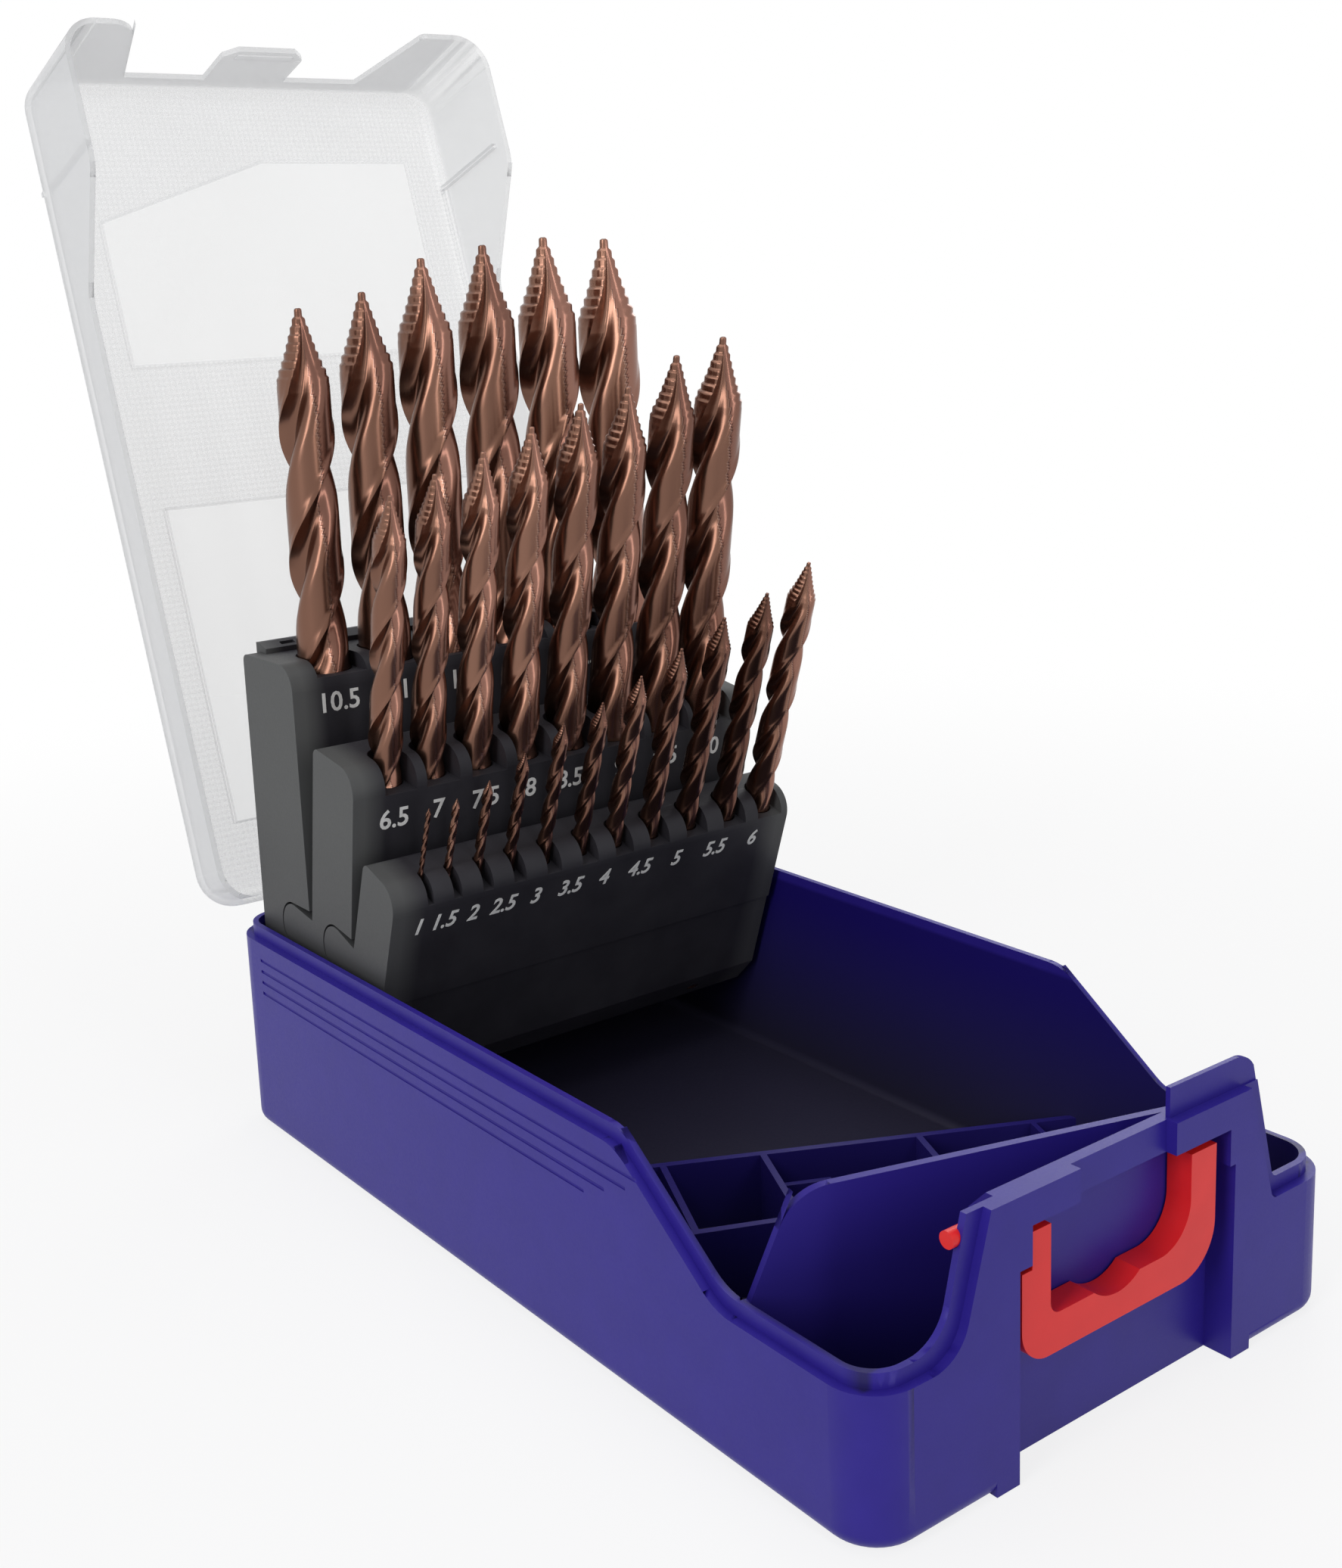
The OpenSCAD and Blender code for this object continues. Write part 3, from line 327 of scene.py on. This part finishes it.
def clearPolypropylene(f):
    material, tree, place = startMaterial("clearPolypropylene")
    # the open lid's places, turned back to where they lie when it is shut
    a = math.radians(f["open"])
    hingeY, hingeZ = f["hinge"]
    moved = (0, hingeY - (hingeY * math.cos(a) - hingeZ * math.sin(a)),
             hingeZ - (hingeY * math.sin(a) + hingeZ * math.cos(a)))
    shut = addNode(tree, "ShaderNodeMapping", {"Vector": place, "Rotation": (a, 0, 0), "Location": moved},
                   vector_type="POINT")
    x, y, z = addNode(tree, "ShaderNodeSeparateXYZ", {0: shut}).outputs
    panels = []
    for left, right, front, back in f["panels"]:
        panel = 1.0
        for where, limit, way in ((x, left, 1), (x, right, -1), (y, front, 1), (y, back, -1)):
            edge = addNode(tree, "ShaderNodeMapRange", {0: where, 1: limit, 2: limit + way * f["soft"]})
            panel = addNode(tree, "ShaderNodeMath", {0: panel, 1: edge}, operation="MULTIPLY")
        panels.append(panel)
    deep, wide = f["corner"]
    left, _, front, _ = f["panels"][0]
    start = front + deep + left * deep / wide
    slope = addNode(tree, "ShaderNodeMath", {0: x, 1: deep / wide, 2: y}, operation="MULTIPLY_ADD")
    beyond = addNode(tree, "ShaderNodeMapRange", {0: slope, 1: start, 2: start + f["soft"]})
    cut = addNode(tree, "ShaderNodeMath", {0: panels[0], 1: beyond}, operation="MULTIPLY")
    plain = addNode(tree, "ShaderNodeMath", {0: cut, 1: panels[1]}, operation="MAXIMUM")
    onTop = addNode(tree, "ShaderNodeMapRange", {0: z, 1: f["topZ"][0], 2: f["topZ"][1]})
    dimpled = addNode(tree, "ShaderNodeMath", {0: onTop, 1: plain}, operation="SUBTRACT")
    # the dimples: two waves crossed at right angles, corner to corner
    waves = []
    for way in ("ADD", "SUBTRACT"):
        along = addNode(tree, "ShaderNodeMath", {0: x, 1: y}, operation=way)
        turns = addNode(tree, "ShaderNodeMath", {0: along, 1: 2 * math.pi / f["pitch"] * f["diagonal"]},
                        operation="MULTIPLY")
        waves.append(addNode(tree, "ShaderNodeMath", {0: turns}, operation="SINE"))
    crossed = addNode(tree, "ShaderNodeMath", {0: waves[0], 1: waves[1]}, operation="MULTIPLY")
    lattice = addNode(tree, "ShaderNodeMath", {0: crossed, 1: dimpled}, operation="MULTIPLY")
    dots = addNode(tree, "ShaderNodeMapRange", {0: lattice, 1: f["dots"][0], 2: f["dots"][1]})
    cloudy = addNode(tree, "ShaderNodeMix", {0: dots, 6: linearColour(f["colour"]), 7: linearColour(f["milk"])},
                     data_type="RGBA").outputs[2]
    colour = addNode(tree, "ShaderNodeMix", {0: plain, 6: cloudy, 7: linearColour(f["panel"])},
                     data_type="RGBA").outputs[2]
    haze = addNode(tree, "ShaderNodeTexNoise", {"Vector": shut, "Scale": f["haze"], "Detail": 3.0})
    # thin plastic is clear face on and milky edge on
    facing = addNode(tree, "ShaderNodeLayerWeight", {"Blend": 0.5}).outputs["Facing"]
    clear = addNode(tree, "ShaderNodeMapRange", {0: facing, 1: f["facing"][0], 2: f["facing"][1],
                                                 3: f["faceOn"], 4: f["edgeOn"]})
    # the dimples cloud it a little more, and each plain panel has a raised edge
    share = addNode(tree, "ShaderNodeMath", {0: dots, 1: dimpled}, operation="MULTIPLY")
    dotted = addNode(tree, "ShaderNodeMath", {0: share, 1: f["dotted"], 2: clear}, operation="MULTIPLY_ADD")
    rest = addNode(tree, "ShaderNodeMath", {0: 1.0, 1: plain}, operation="SUBTRACT")
    border = addNode(tree, "ShaderNodeMath", {0: plain, 1: rest}, operation="MULTIPLY")  # a quarter at most
    lined = addNode(tree, "ShaderNodeMath", {0: border, 1: 4 * f["line"], 2: dotted}, operation="MULTIPLY_ADD")
    addSurface(tree, f, colour, haze, lattice, Alpha=lined)
    return material


# Hardened steel tempered in air: a bronze oxide, with painted shade in the flute hollows and painted highlight streaks
# along them
drillFinishWithPaintedLight = {
    # across one flute: land, painted shade at the land's edge, painted shade in the hollow, painted highlight streaks,
    # heel
    "bands": [(0.0, "#936b5d"), (0.2, "#835c4f"), (0.41, "#916858"), (0.45, "#331d18"), (0.56, "#4a2f28"),
              (0.68, "#6b4a40"), (0.76, "#b8968a"), (0.82, "#74544a"), (0.89, "#c4a292"), (0.95, "#886454")],
    # the streak tones are partly grinding marks and partly painted reflection streaks along the flutes
    "streaks": [(0.3, "#9c9290"), (0.65, "#ffffff")],
    "streakScale": 2.2, "fineScale": 9.0,  # counted in the helix attribute's own units
    "rough": (0.17, 0.34), "bump": 0.2, "depth": 0.00008, "shader": {"Metallic": 0.95},
}


def bronzedSteel(f):
    material, tree, _ = startMaterial("bronzedSteel")
    helix = addNode(tree, "ShaderNodeAttribute", attribute_name="helix").outputs["Vector"]
    flute = addNode(tree, "ShaderNodeAttribute", attribute_name="flute").outputs["Fac"]
    # painted shade and painted highlights: dark at the land's edge and in the hollow, bright streaks towards the heel
    bands = addNode(tree, "ShaderNodeValToRGB", {0: flute})
    fillRamp(bands, f["bands"])
    # streaks along the helix: partly grinding marks, partly painted reflections
    streaks = addNode(tree, "ShaderNodeTexNoise", {"Vector": helix, "Scale": f["streakScale"], "Detail": 4.0,
                                                   "Roughness": 0.55})
    shade = addNode(tree, "ShaderNodeValToRGB", {0: streaks})
    fillRamp(shade, f["streaks"])
    colour = addNode(tree, "ShaderNodeMix", {0: 1.0, 6: bands, 7: shade}, data_type="RGBA",
                     blend_type="MULTIPLY").outputs[2]
    fine = addNode(tree, "ShaderNodeTexNoise", {"Vector": helix, "Scale": f["fineScale"], "Detail": 3.0})
    addSurface(tree, f, colour, fine)
    return material


# Bright drawn steel wire: fine lines along each pin
pinFinish = {
    "tones": [(0.3, "#9da0a4"), (0.7, "#b9bcc0")], "draw": 0.0006, "stretch": (0.05, 1, 1),
    "rough": (0.24, 0.4), "bump": 0.3, "depth": 0.00001, "shader": {"Metallic": 1.0},
}


def brightSteel(f):
    material, tree, place = startMaterial("brightSteel")
    lines = addNode(tree, "ShaderNodeMapping", {0: place, "Scale": f["stretch"]})
    drawn = addNode(tree, "ShaderNodeTexNoise", {"Vector": lines, "Scale": 1 / f["draw"], "Detail": 2.0})
    tones = addNode(tree, "ShaderNodeValToRGB", {0: drawn})
    fillRamp(tones, f["tones"])
    addSurface(tree, f, tones, drawn)
    return material


# White pad-printing ink, a little chalky
inkFinish = {
    "colour": "#eeeeec", "thin": "#cfcfcd", "speck": 0.0006, "rough": (0.5, 0.7), "bump": 0.2, "depth": 0.00001,
}


def padPrintInk(f):
    material, tree, place = startMaterial("padPrintInk")
    specks = addNode(tree, "ShaderNodeTexNoise", {"Vector": place, "Scale": 1 / f["speck"], "Detail": 2.0})
    colour = addNode(tree, "ShaderNodeMix", {0: specks, 6: linearColour(f["thin"]), 7: linearColour(f["colour"])},
                     data_type="RGBA").outputs[2]
    addSurface(tree, f, colour, specks)
    return material


trayMaterial = bluePolypropylene(trayFinishWithPaintedShade)
dividerMaterial = bluePolypropylene(dividerFinishWithPaintedShade)
blockMaterial = blackPolystyrene(blockFinishWithPaintedLight)
latchMaterial = redAcetal(latchFinish)
lidMaterial = clearPolypropylene(lidFinish)
drillMaterial = bronzedSteel(drillFinishWithPaintedLight)
pinMaterial = brightSteel(pinFinish)
inkMaterial = padPrintInk(inkFinish)
print("materials made")

# Moulded solids keep their shape and get softened edges, each with its width in metres
moulded = {
    "tray": (trayMaterial, 0.0003), "divider": (dividerMaterial, 0.0002), "foot_pads": (blockMaterial, 0.0002),
    "lid": (lidMaterial, 0.00025), "latch": (latchMaterial, 0.0004), "rear_block": (blockMaterial, 0.0004),
    "lift_strip": (blockMaterial, 0.0003), "pivot_pins": (blockMaterial, 0.0001),
    "middle_block": (blockMaterial, 0.0004), "middle_pins": (blockMaterial, 0.0001),
    "front_block": (blockMaterial, 0.0004), "front_pins": (blockMaterial, 0.0001), "hinge_pins": (pinMaterial, 0.0001),
}
softening = {"weld": 0.000001, "segments": 2, "angle": 35}


def softenEdges(piece, width, s):
    weld = piece.modifiers.new("weld", "WELD")
    weld.merge_threshold = s["weld"]
    bevel = piece.modifiers.new("bevel", "BEVEL")
    bevel.width, bevel.segments, bevel.limit_method = width, s["segments"], "ANGLE"
    bevel.angle_limit = math.radians(s["angle"])
    bevel.use_clamp_overlap = True
    bevel.miter_outer = "MITER_ARC"
    weighted = piece.modifiers.new("normals", "WEIGHTED_NORMAL")
    weighted.keep_sharp = True


for name, (material, width) in moulded.items():
    for slot in nodes[name].material_slots:
        slot.material = material
    softenEdges(nodes[name], width, softening)
print("moulded solids finished")

# Drills: one tree, run once for each size; lengths are in metres and the rest in diameters or shares
drillShape = {
    "lead": 4.9, "point": 1.5, "steps": 10.0, "runOut": 0.8, "pointTwist": 0.5, "facing": 0.63,
    "rings": 200, "columns": 64, "shankRings": 4, "pointShare": 0.42,
    "small": 0.0035, "smallRings": 150, "smallColumns": 40,  # drills thinner than this have fewer faces
    "sunk": 0.0075, "leastShank": 0.004,  # the shank ends this far below the block's top
    "rows": [("rear_block", 0.0102), ("middle_block", 0.0062), ("front_block", 0.0)],  # a block's drills are thicker
    # radius across one flute, from the heel over the land and its margin to the hollow and back
    "section": [(0, 0.955), (0.36, 0.955), (0.39, 1.0), (0.4375, 1.0), (0.46, 0.7), (0.51, 0.5), (0.58, 0.44),
                (0.67, 0.52), (0.76, 0.69), (0.84, 0.84), (0.92, 0.935), (1, 0.955)],
    "landFrom": (0.85, 0.95),
    # radius along the point, from its shoulder to the tip
    "outline": [(0, 1.0), (0.1, 0.985), (0.2, 0.9), (0.33, 0.73), (0.46, 0.59), (0.63, 0.43), (0.76, 0.31),
                (0.87, 0.2), (0.9, 0.155), (0.985, 0.14), (1, 0.08)],
    "stepRise": 0.72, "streakPitch": 4.0, "sharpAngle": 32, "weld": 0.0000005,
}


def drillTree(s):
    tree = bpy.data.node_groups.new("twistDrill", "GeometryNodeTree")
    for name, kind in (("Diameter", "Float"), ("Length", "Float"), ("Shank", "Float"), ("Lead", "Float"),
                       ("Point", "Float"), ("Steps", "Float"), ("Turn", "Float"), ("Columns", "Int"),
                       ("Rings", "Int"), ("Steel", "Material")):
        tree.interface.new_socket(name, in_out="INPUT", socket_type="NodeSocket" + kind)
    tree.interface.new_socket("Drill", in_out="OUTPUT", socket_type="NodeSocketGeometry")
    given = addNode(tree, "NodeGroupInput").outputs
    diameter, rings, shank = given["Diameter"], given["Rings"], given["Shank"]

    # a flat sheet, whose columns go round the drill and whose rings go up it
    countX = addNode(tree, "ShaderNodeMath", {0: given["Columns"], 1: 1}, operation="ADD")
    countY = addNode(tree, "ShaderNodeMath", {0: rings, 1: 1}, operation="ADD")
    sheet = addNode(tree, "GeometryNodeMeshGrid", {"Size X": 1.0, "Size Y": 1.0, "Vertices X": countX,
                                                   "Vertices Y": countY})
    here = addNode(tree, "ShaderNodeSeparateXYZ", {0: addNode(tree, "GeometryNodeInputPosition")}).outputs
    across = addNode(tree, "ShaderNodeMath", {0: here[0], 1: 0.5}, operation="ADD")
    upSheet = addNode(tree, "ShaderNodeMath", {0: here[1], 1: 0.5}, operation="ADD")
    ring = addNode(tree, "ShaderNodeMath", {0: upSheet, 1: rings}, operation="MULTIPLY")
    lastRing = addNode(tree, "ShaderNodeMath", {0: rings, 1: 1}, operation="SUBTRACT")
    pointRing = addNode(tree, "ShaderNodeMath", {0: rings, 1: 1 - s["pointShare"]}, operation="MULTIPLY")

    # each ring's height: the first and last close the ends, and the point has closer rings
    pointLength = addNode(tree, "ShaderNodeMath", {0: diameter, 1: given["Point"]}, operation="MULTIPLY")
    aboveShank = addNode(tree, "ShaderNodeMath", {0: given["Length"], 1: shank}, operation="SUBTRACT")
    fluteLength = addNode(tree, "ShaderNodeMath", {0: aboveShank, 1: pointLength}, operation="SUBTRACT")
    onShank = addNode(tree, "ShaderNodeMapRange", {0: ring, 1: 1, 2: s["shankRings"], 3: 0, 4: shank})
    onFlute = addNode(tree, "ShaderNodeMapRange", {0: ring, 1: s["shankRings"], 2: pointRing, 3: 0, 4: fluteLength})
    onPoint = addNode(tree, "ShaderNodeMapRange", {0: ring, 1: pointRing, 2: lastRing, 3: 0, 4: pointLength})
    lower = addNode(tree, "ShaderNodeMath", {0: onShank, 1: onFlute}, operation="ADD")
    height = addNode(tree, "ShaderNodeMath", {0: lower, 1: onPoint}, operation="ADD")

    # the land's edge steps in along the point, the hollow tapers evenly
    along = addNode(tree, "ShaderNodeMapRange", {0: ring, 1: pointRing, 2: lastRing, 3: 0, 4: 1})
    stepped = addNode(tree, "ShaderNodeMath", {0: along, 1: given["Steps"]}, operation="MULTIPLY")
    withinStep = addNode(tree, "ShaderNodeMath", {0: stepped}, operation="FRACT")
    stepCount = addNode(tree, "ShaderNodeMath", {0: stepped}, operation="FLOOR")
    rise = addNode(tree, "ShaderNodeMapRange", {0: withinStep, 1: s["stepRise"], 2: 1.0, 3: 0, 4: 1})
    stepPlace = addNode(tree, "ShaderNodeMath", {0: stepCount, 1: rise}, operation="ADD")
    alongStep = addNode(tree, "ShaderNodeMath", {0: stepPlace, 1: given["Steps"]}, operation="DIVIDE")
    smoothOutline = addNode(tree, "ShaderNodeFloatCurve", {0: 1.0, 1: along})
    stepOutline = addNode(tree, "ShaderNodeFloatCurve", {0: 1.0, 1: alongStep})
    fillCurve(smoothOutline, s["outline"])
    fillCurve(stepOutline, s["outline"])

    # the flutes' section, which runs out into the round shank
    flutes = addNode(tree, "ShaderNodeMath", {0: across, 1: 2.0}, operation="MULTIPLY")
    part = addNode(tree, "ShaderNodeMath", {0: flutes}, operation="FRACT")
    section = addNode(tree, "ShaderNodeFloatCurve", {0: 1.0, 1: part})
    fillCurve(section, s["section"])
    runOut = addNode(tree, "ShaderNodeMath", {0: diameter, 1: s["runOut"]}, operation="MULTIPLY")
    runEnd = addNode(tree, "ShaderNodeMath", {0: shank, 1: runOut}, operation="ADD")
    depth = addNode(tree, "ShaderNodeMapRange", {0: height, 1: shank, 2: runEnd, 3: 0.0, 4: 1.0},
                    interpolation_type="SMOOTHSTEP")
    missing = addNode(tree, "ShaderNodeMath", {0: 1.0, 1: section}, operation="SUBTRACT")
    cut = addNode(tree, "ShaderNodeMath", {0: missing, 1: depth}, operation="MULTIPLY")
    body = addNode(tree, "ShaderNodeMath", {0: 1.0, 1: cut}, operation="SUBTRACT")
    onLand = addNode(tree, "ShaderNodeMapRange", {0: section, 1: s["landFrom"][0], 2: s["landFrom"][1], 3: 0, 4: 1})
    outline = addNode(tree, "ShaderNodeMix", {0: onLand, 2: smoothOutline, 3: stepOutline}, data_type="FLOAT")
    shaped = addNode(tree, "ShaderNodeMath", {0: body, 1: outline}, operation="MULTIPLY")
    radius = addNode(tree, "ShaderNodeMath", {0: diameter, 1: 0.5}, operation="MULTIPLY")
    full = addNode(tree, "ShaderNodeMath", {0: shaped, 1: radius}, operation="MULTIPLY")
    beforeLast = addNode(tree, "ShaderNodeMath", {0: rings, 1: 0.5}, operation="SUBTRACT")
    pastFirst = addNode(tree, "ShaderNodeMath", {0: ring, 1: 0.5}, operation="GREATER_THAN")
    underLast = addNode(tree, "ShaderNodeMath", {0: ring, 1: beforeLast}, operation="LESS_THAN")
    openRing = addNode(tree, "ShaderNodeMath", {0: pastFirst, 1: underLast}, operation="MULTIPLY")
    size = addNode(tree, "ShaderNodeMath", {0: full, 1: openRing}, operation="MULTIPLY")

    # the twist, counted from the shoulder and slower along the point
    twistFrom = addNode(tree, "ShaderNodeMath", {0: height, 1: shank}, operation="MAXIMUM")
    shoulder = addNode(tree, "ShaderNodeMath", {0: given["Length"], 1: pointLength}, operation="SUBTRACT")
    beneath = addNode(tree, "ShaderNodeMath", {0: twistFrom, 1: shoulder}, operation="MINIMUM")
    beyond = addNode(tree, "ShaderNodeMath", {0: twistFrom, 1: beneath}, operation="SUBTRACT")
    onward = addNode(tree, "ShaderNodeMath", {0: beyond, 1: s["pointTwist"]}, operation="MULTIPLY")
    under = addNode(tree, "ShaderNodeMath", {0: beneath, 1: shoulder}, operation="SUBTRACT")
    run = addNode(tree, "ShaderNodeMath", {0: under, 1: onward}, operation="ADD")
    lead = addNode(tree, "ShaderNodeMath", {0: diameter, 1: given["Lead"]}, operation="MULTIPLY")
    twist = addNode(tree, "ShaderNodeMath", {0: run, 1: lead}, operation="DIVIDE")
    turns = addNode(tree, "ShaderNodeMath", {0: across, 1: twist}, operation="ADD")
    radians = addNode(tree, "ShaderNodeMath", {0: turns, 1: 2 * math.pi}, operation="MULTIPLY")
    angle = addNode(tree, "ShaderNodeMath", {0: radians, 1: given["Turn"]}, operation="ADD")
    cosine = addNode(tree, "ShaderNodeMath", {0: angle}, operation="COSINE")
    sine = addNode(tree, "ShaderNodeMath", {0: angle}, operation="SINE")
    spotX = addNode(tree, "ShaderNodeMath", {0: cosine, 1: size}, operation="MULTIPLY")
    spotY = addNode(tree, "ShaderNodeMath", {0: sine, 1: size}, operation="MULTIPLY")
    spot = addNode(tree, "ShaderNodeCombineXYZ", {0: spotX, 1: spotY, 2: height})
    rolled = addNode(tree, "GeometryNodeSetPosition", {"Geometry": sheet, "Position": spot})

    # a place that runs along the flutes, for the streaks, which are partly grinding marks and partly painted
    # reflections
    partTurn = addNode(tree, "ShaderNodeMath", {0: part, 1: 2 * math.pi}, operation="MULTIPLY")
    partX = addNode(tree, "ShaderNodeMath", {0: partTurn}, operation="COSINE")
    partY = addNode(tree, "ShaderNodeMath", {0: partTurn}, operation="SINE")
    pitch = addNode(tree, "ShaderNodeMath", {0: diameter, 1: s["streakPitch"]}, operation="MULTIPLY")
    upHelix = addNode(tree, "ShaderNodeMath", {0: height, 1: pitch}, operation="DIVIDE")
    helix = addNode(tree, "ShaderNodeCombineXYZ", {0: partX, 1: partY, 2: upHelix})
    stored = addNode(tree, "GeometryNodeStoreNamedAttribute", {"Geometry": rolled, "Name": "helix", "Value": helix},
                     data_type="FLOAT_VECTOR", domain="POINT")
    # how far across its flute a place is, for the colour bands with their painted shade and painted highlights; the
    # plain shank counts as land
    ground = addNode(tree, "ShaderNodeMath", {0: part, 1: depth}, operation="MULTIPLY")
    banded = addNode(tree, "GeometryNodeStoreNamedAttribute", {"Geometry": stored, "Name": "flute",
                                                               "Value": ground}, data_type="FLOAT", domain="POINT")

    joined = addNode(tree, "GeometryNodeMergeByDistance", {"Geometry": banded, "Distance": s["weld"]})
    bend = addNode(tree, "GeometryNodeInputMeshEdgeAngle")
    gentle = addNode(tree, "ShaderNodeMath", {0: bend, 1: math.radians(s["sharpAngle"])}, operation="LESS_THAN")
    smoothEdges = addNode(tree, "GeometryNodeSetShadeSmooth", {"Geometry": joined, "Shade Smooth": gentle},
                          domain="EDGE")
    smoothFaces = addNode(tree, "GeometryNodeSetShadeSmooth", {"Geometry": smoothEdges, "Shade Smooth": True},
                          domain="FACE")
    real = addNode(tree, "GeometryNodeRealizeInstances", {"Geometry": smoothFaces})
    dressed = addNode(tree, "GeometryNodeSetMaterial", {"Geometry": real, "Material": given["Steel"]})
    addNode(tree, "NodeGroupOutput", {0: dressed})
    return tree


def setInput(modifier, tree, name, value):
    for item in tree.interface.items_tree:
        if item.item_type == "SOCKET" and item.in_out == "INPUT" and item.name == name:
            modifier[item.identifier] = value


def bakedMesh(source, name):
    graph = bpy.context.evaluated_depsgraph_get()
    mesh = bpy.data.meshes.new_from_object(source.evaluated_get(graph), preserve_all_data_layers=True,
                                           depsgraph=graph)
    mesh.name = name
    return mesh


pullAxis = {joint["child"]: Vector(joint["axis"]).normalized()
            for joint in frame["joints"] if joint["type"] == "slide"}


def drillPlace(name):
    # the solid's axis, the middle of its lower end and its length
    axis = pullAxis[name]
    points = [v.co.copy() for v in nodes[name].data.vertices]
    along = [p.dot(axis) for p in points]
    low, high = min(along), max(along)
    rim = [p for p, a in zip(points, along) if a < low + 1e-5]
    middle = Vector([(min(p[i] for p in rim) + max(p[i] for p in rim)) / 2 for i in range(3)])
    return axis, middle, high - low


def makeDrills(s):
    tree = drillTree(s)
    eye = Vector(cameraPlace["place"])
    for name in sorted(n for n in nodes if n.startswith("drill_")):
        axis, foot, length = drillPlace(name)
        whole, part = name.split("_")[1:]
        diameter = float(whole + "." + part) / 1000
        block = next(row for row, least in s["rows"] if diameter > least)
        top = max(v.co.dot(axis) for v in nodes[block].data.vertices)
        shank = max(top - s["sunk"] - foot.dot(axis), s["leastShank"])
        piece = bpy.data.objects.new(name.replace("drill", "twistDrill"), bpy.data.meshes.new(name))
        bpy.context.scene.collection.objects.link(piece)
        modifier = piece.modifiers.new("twist", "NODES")
        modifier.node_group = tree
        shoulder = foot + axis * (length - s["point"] * diameter)
        toEye = eye - shoulder
        # at the shoulder the hollow shows to the front left, with the land's edge at its left
        facing = math.atan2(toEye.y, toEye.x) - math.pi * s["facing"]
        small = diameter < s["small"]
        for key, value in (("Diameter", diameter), ("Length", length), ("Shank", shank), ("Lead", s["lead"]),
                           ("Point", s["point"]), ("Steps", s["steps"]), ("Turn", facing),
                           ("Columns", s["smallColumns"] if small else s["columns"]),
                           ("Rings", s["smallRings"] if small else s["rings"]), ("Steel", drillMaterial)):
            setInput(modifier, tree, key, value)
        mesh = bakedMesh(piece, piece.name)
        piece.modifiers.clear()
        piece.data = mesh
        mesh.transform(Matrix.Translation(foot) @ Vector((0, 0, 1)).rotation_difference(axis).to_matrix().to_4x4())
        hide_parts(name)
        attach(piece, nodes[name]["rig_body"])


makeDrills(drillShape)
print("drills made")

# Size numbers on the blocks' front faces: each mark and its x
numbers = {
    "depth": 0.00008, "weight": 0.00007, "smooth": 3, "rows": {
        "rear_block": {"z": 0.0896, "size": 0.0054, "shear": 0.0, "marks": [
            ("10.5", -0.0372), ("11", -0.0212), ("11.5", -0.0078), ("12", 0.0066), ("12.5", 0.0212),
            ("13", 0.0364)]},
        "middle_block": {"z": 0.0706, "size": 0.0053, "shear": 0.04, "marks": [
            ("6.5", -0.0383), ("7", -0.0288), ("7.5", -0.0182), ("8", -0.0078), ("8.5", 0.0016), ("9", 0.0137),
            ("9.5", 0.0254), ("10", 0.037)]},
        "front_block": {"z": 0.0531, "size": 0.0046, "shear": 0.28, "marks": [
            ("1", -0.0415), ("1.5", -0.0361), ("2", -0.0297), ("2.5", -0.023), ("3", -0.0157), ("3.5", -0.0077),
            ("4", 0.0003), ("4.5", 0.009), ("5", 0.0182), ("5.5", 0.0281), ("6", 0.038)]},
    },
    "lookFrom": -0.2,  # the y that each mark is sent back from, to meet its block
}


def onFace(name, x, z, lookFrom):
    # where a line from the front meets a solid, as a place that lies flat on the face there
    mesh = nodes[name].data
    tree = BVHTree.FromPolygons([v.co for v in mesh.vertices], [p.vertices for p in mesh.polygons])
    place, normal, _, _ = tree.ray_cast(Vector((x, lookFrom, z)), Vector((0, 1, 0)))
    up = Vector((0, 0, 1))
    up = (up - normal * up.dot(normal)).normalized()
    return Matrix.Translation(place) @ Matrix((up.cross(normal), up, normal)).transposed().to_4x4()


def makeNumbers(s):
    for block, row in s["rows"].items():
        mesh = bmesh.new()
        for mark, x in row["marks"]:
            curve = bpy.data.curves.new(mark, "FONT")
            curve.body, curve.size, curve.shear = mark, row["size"], row["shear"]
            curve.align_x, curve.align_y = "CENTER", "CENTER"
            curve.extrude, curve.offset, curve.resolution_u = s["depth"], s["weight"], s["smooth"]
            words = bpy.data.objects.new(mark, curve)
            bpy.context.scene.collection.objects.link(words)
            flat = bakedMesh(words, mark)
            flat.transform(onFace(block, x, row["z"], s["lookFrom"]))
            mesh.from_mesh(flat)
            bpy.data.objects.remove(words)
        data = bpy.data.meshes.new(block + "_numbers")
        mesh.to_mesh(data)
        mesh.free()
        data.materials.append(inkMaterial)
        piece = bpy.data.objects.new(block.replace("_block", "Numbers"), data)
        bpy.context.scene.collection.objects.link(piece)
        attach(piece, nodes[block]["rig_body"])


makeNumbers(numbers)
print("numbers printed")
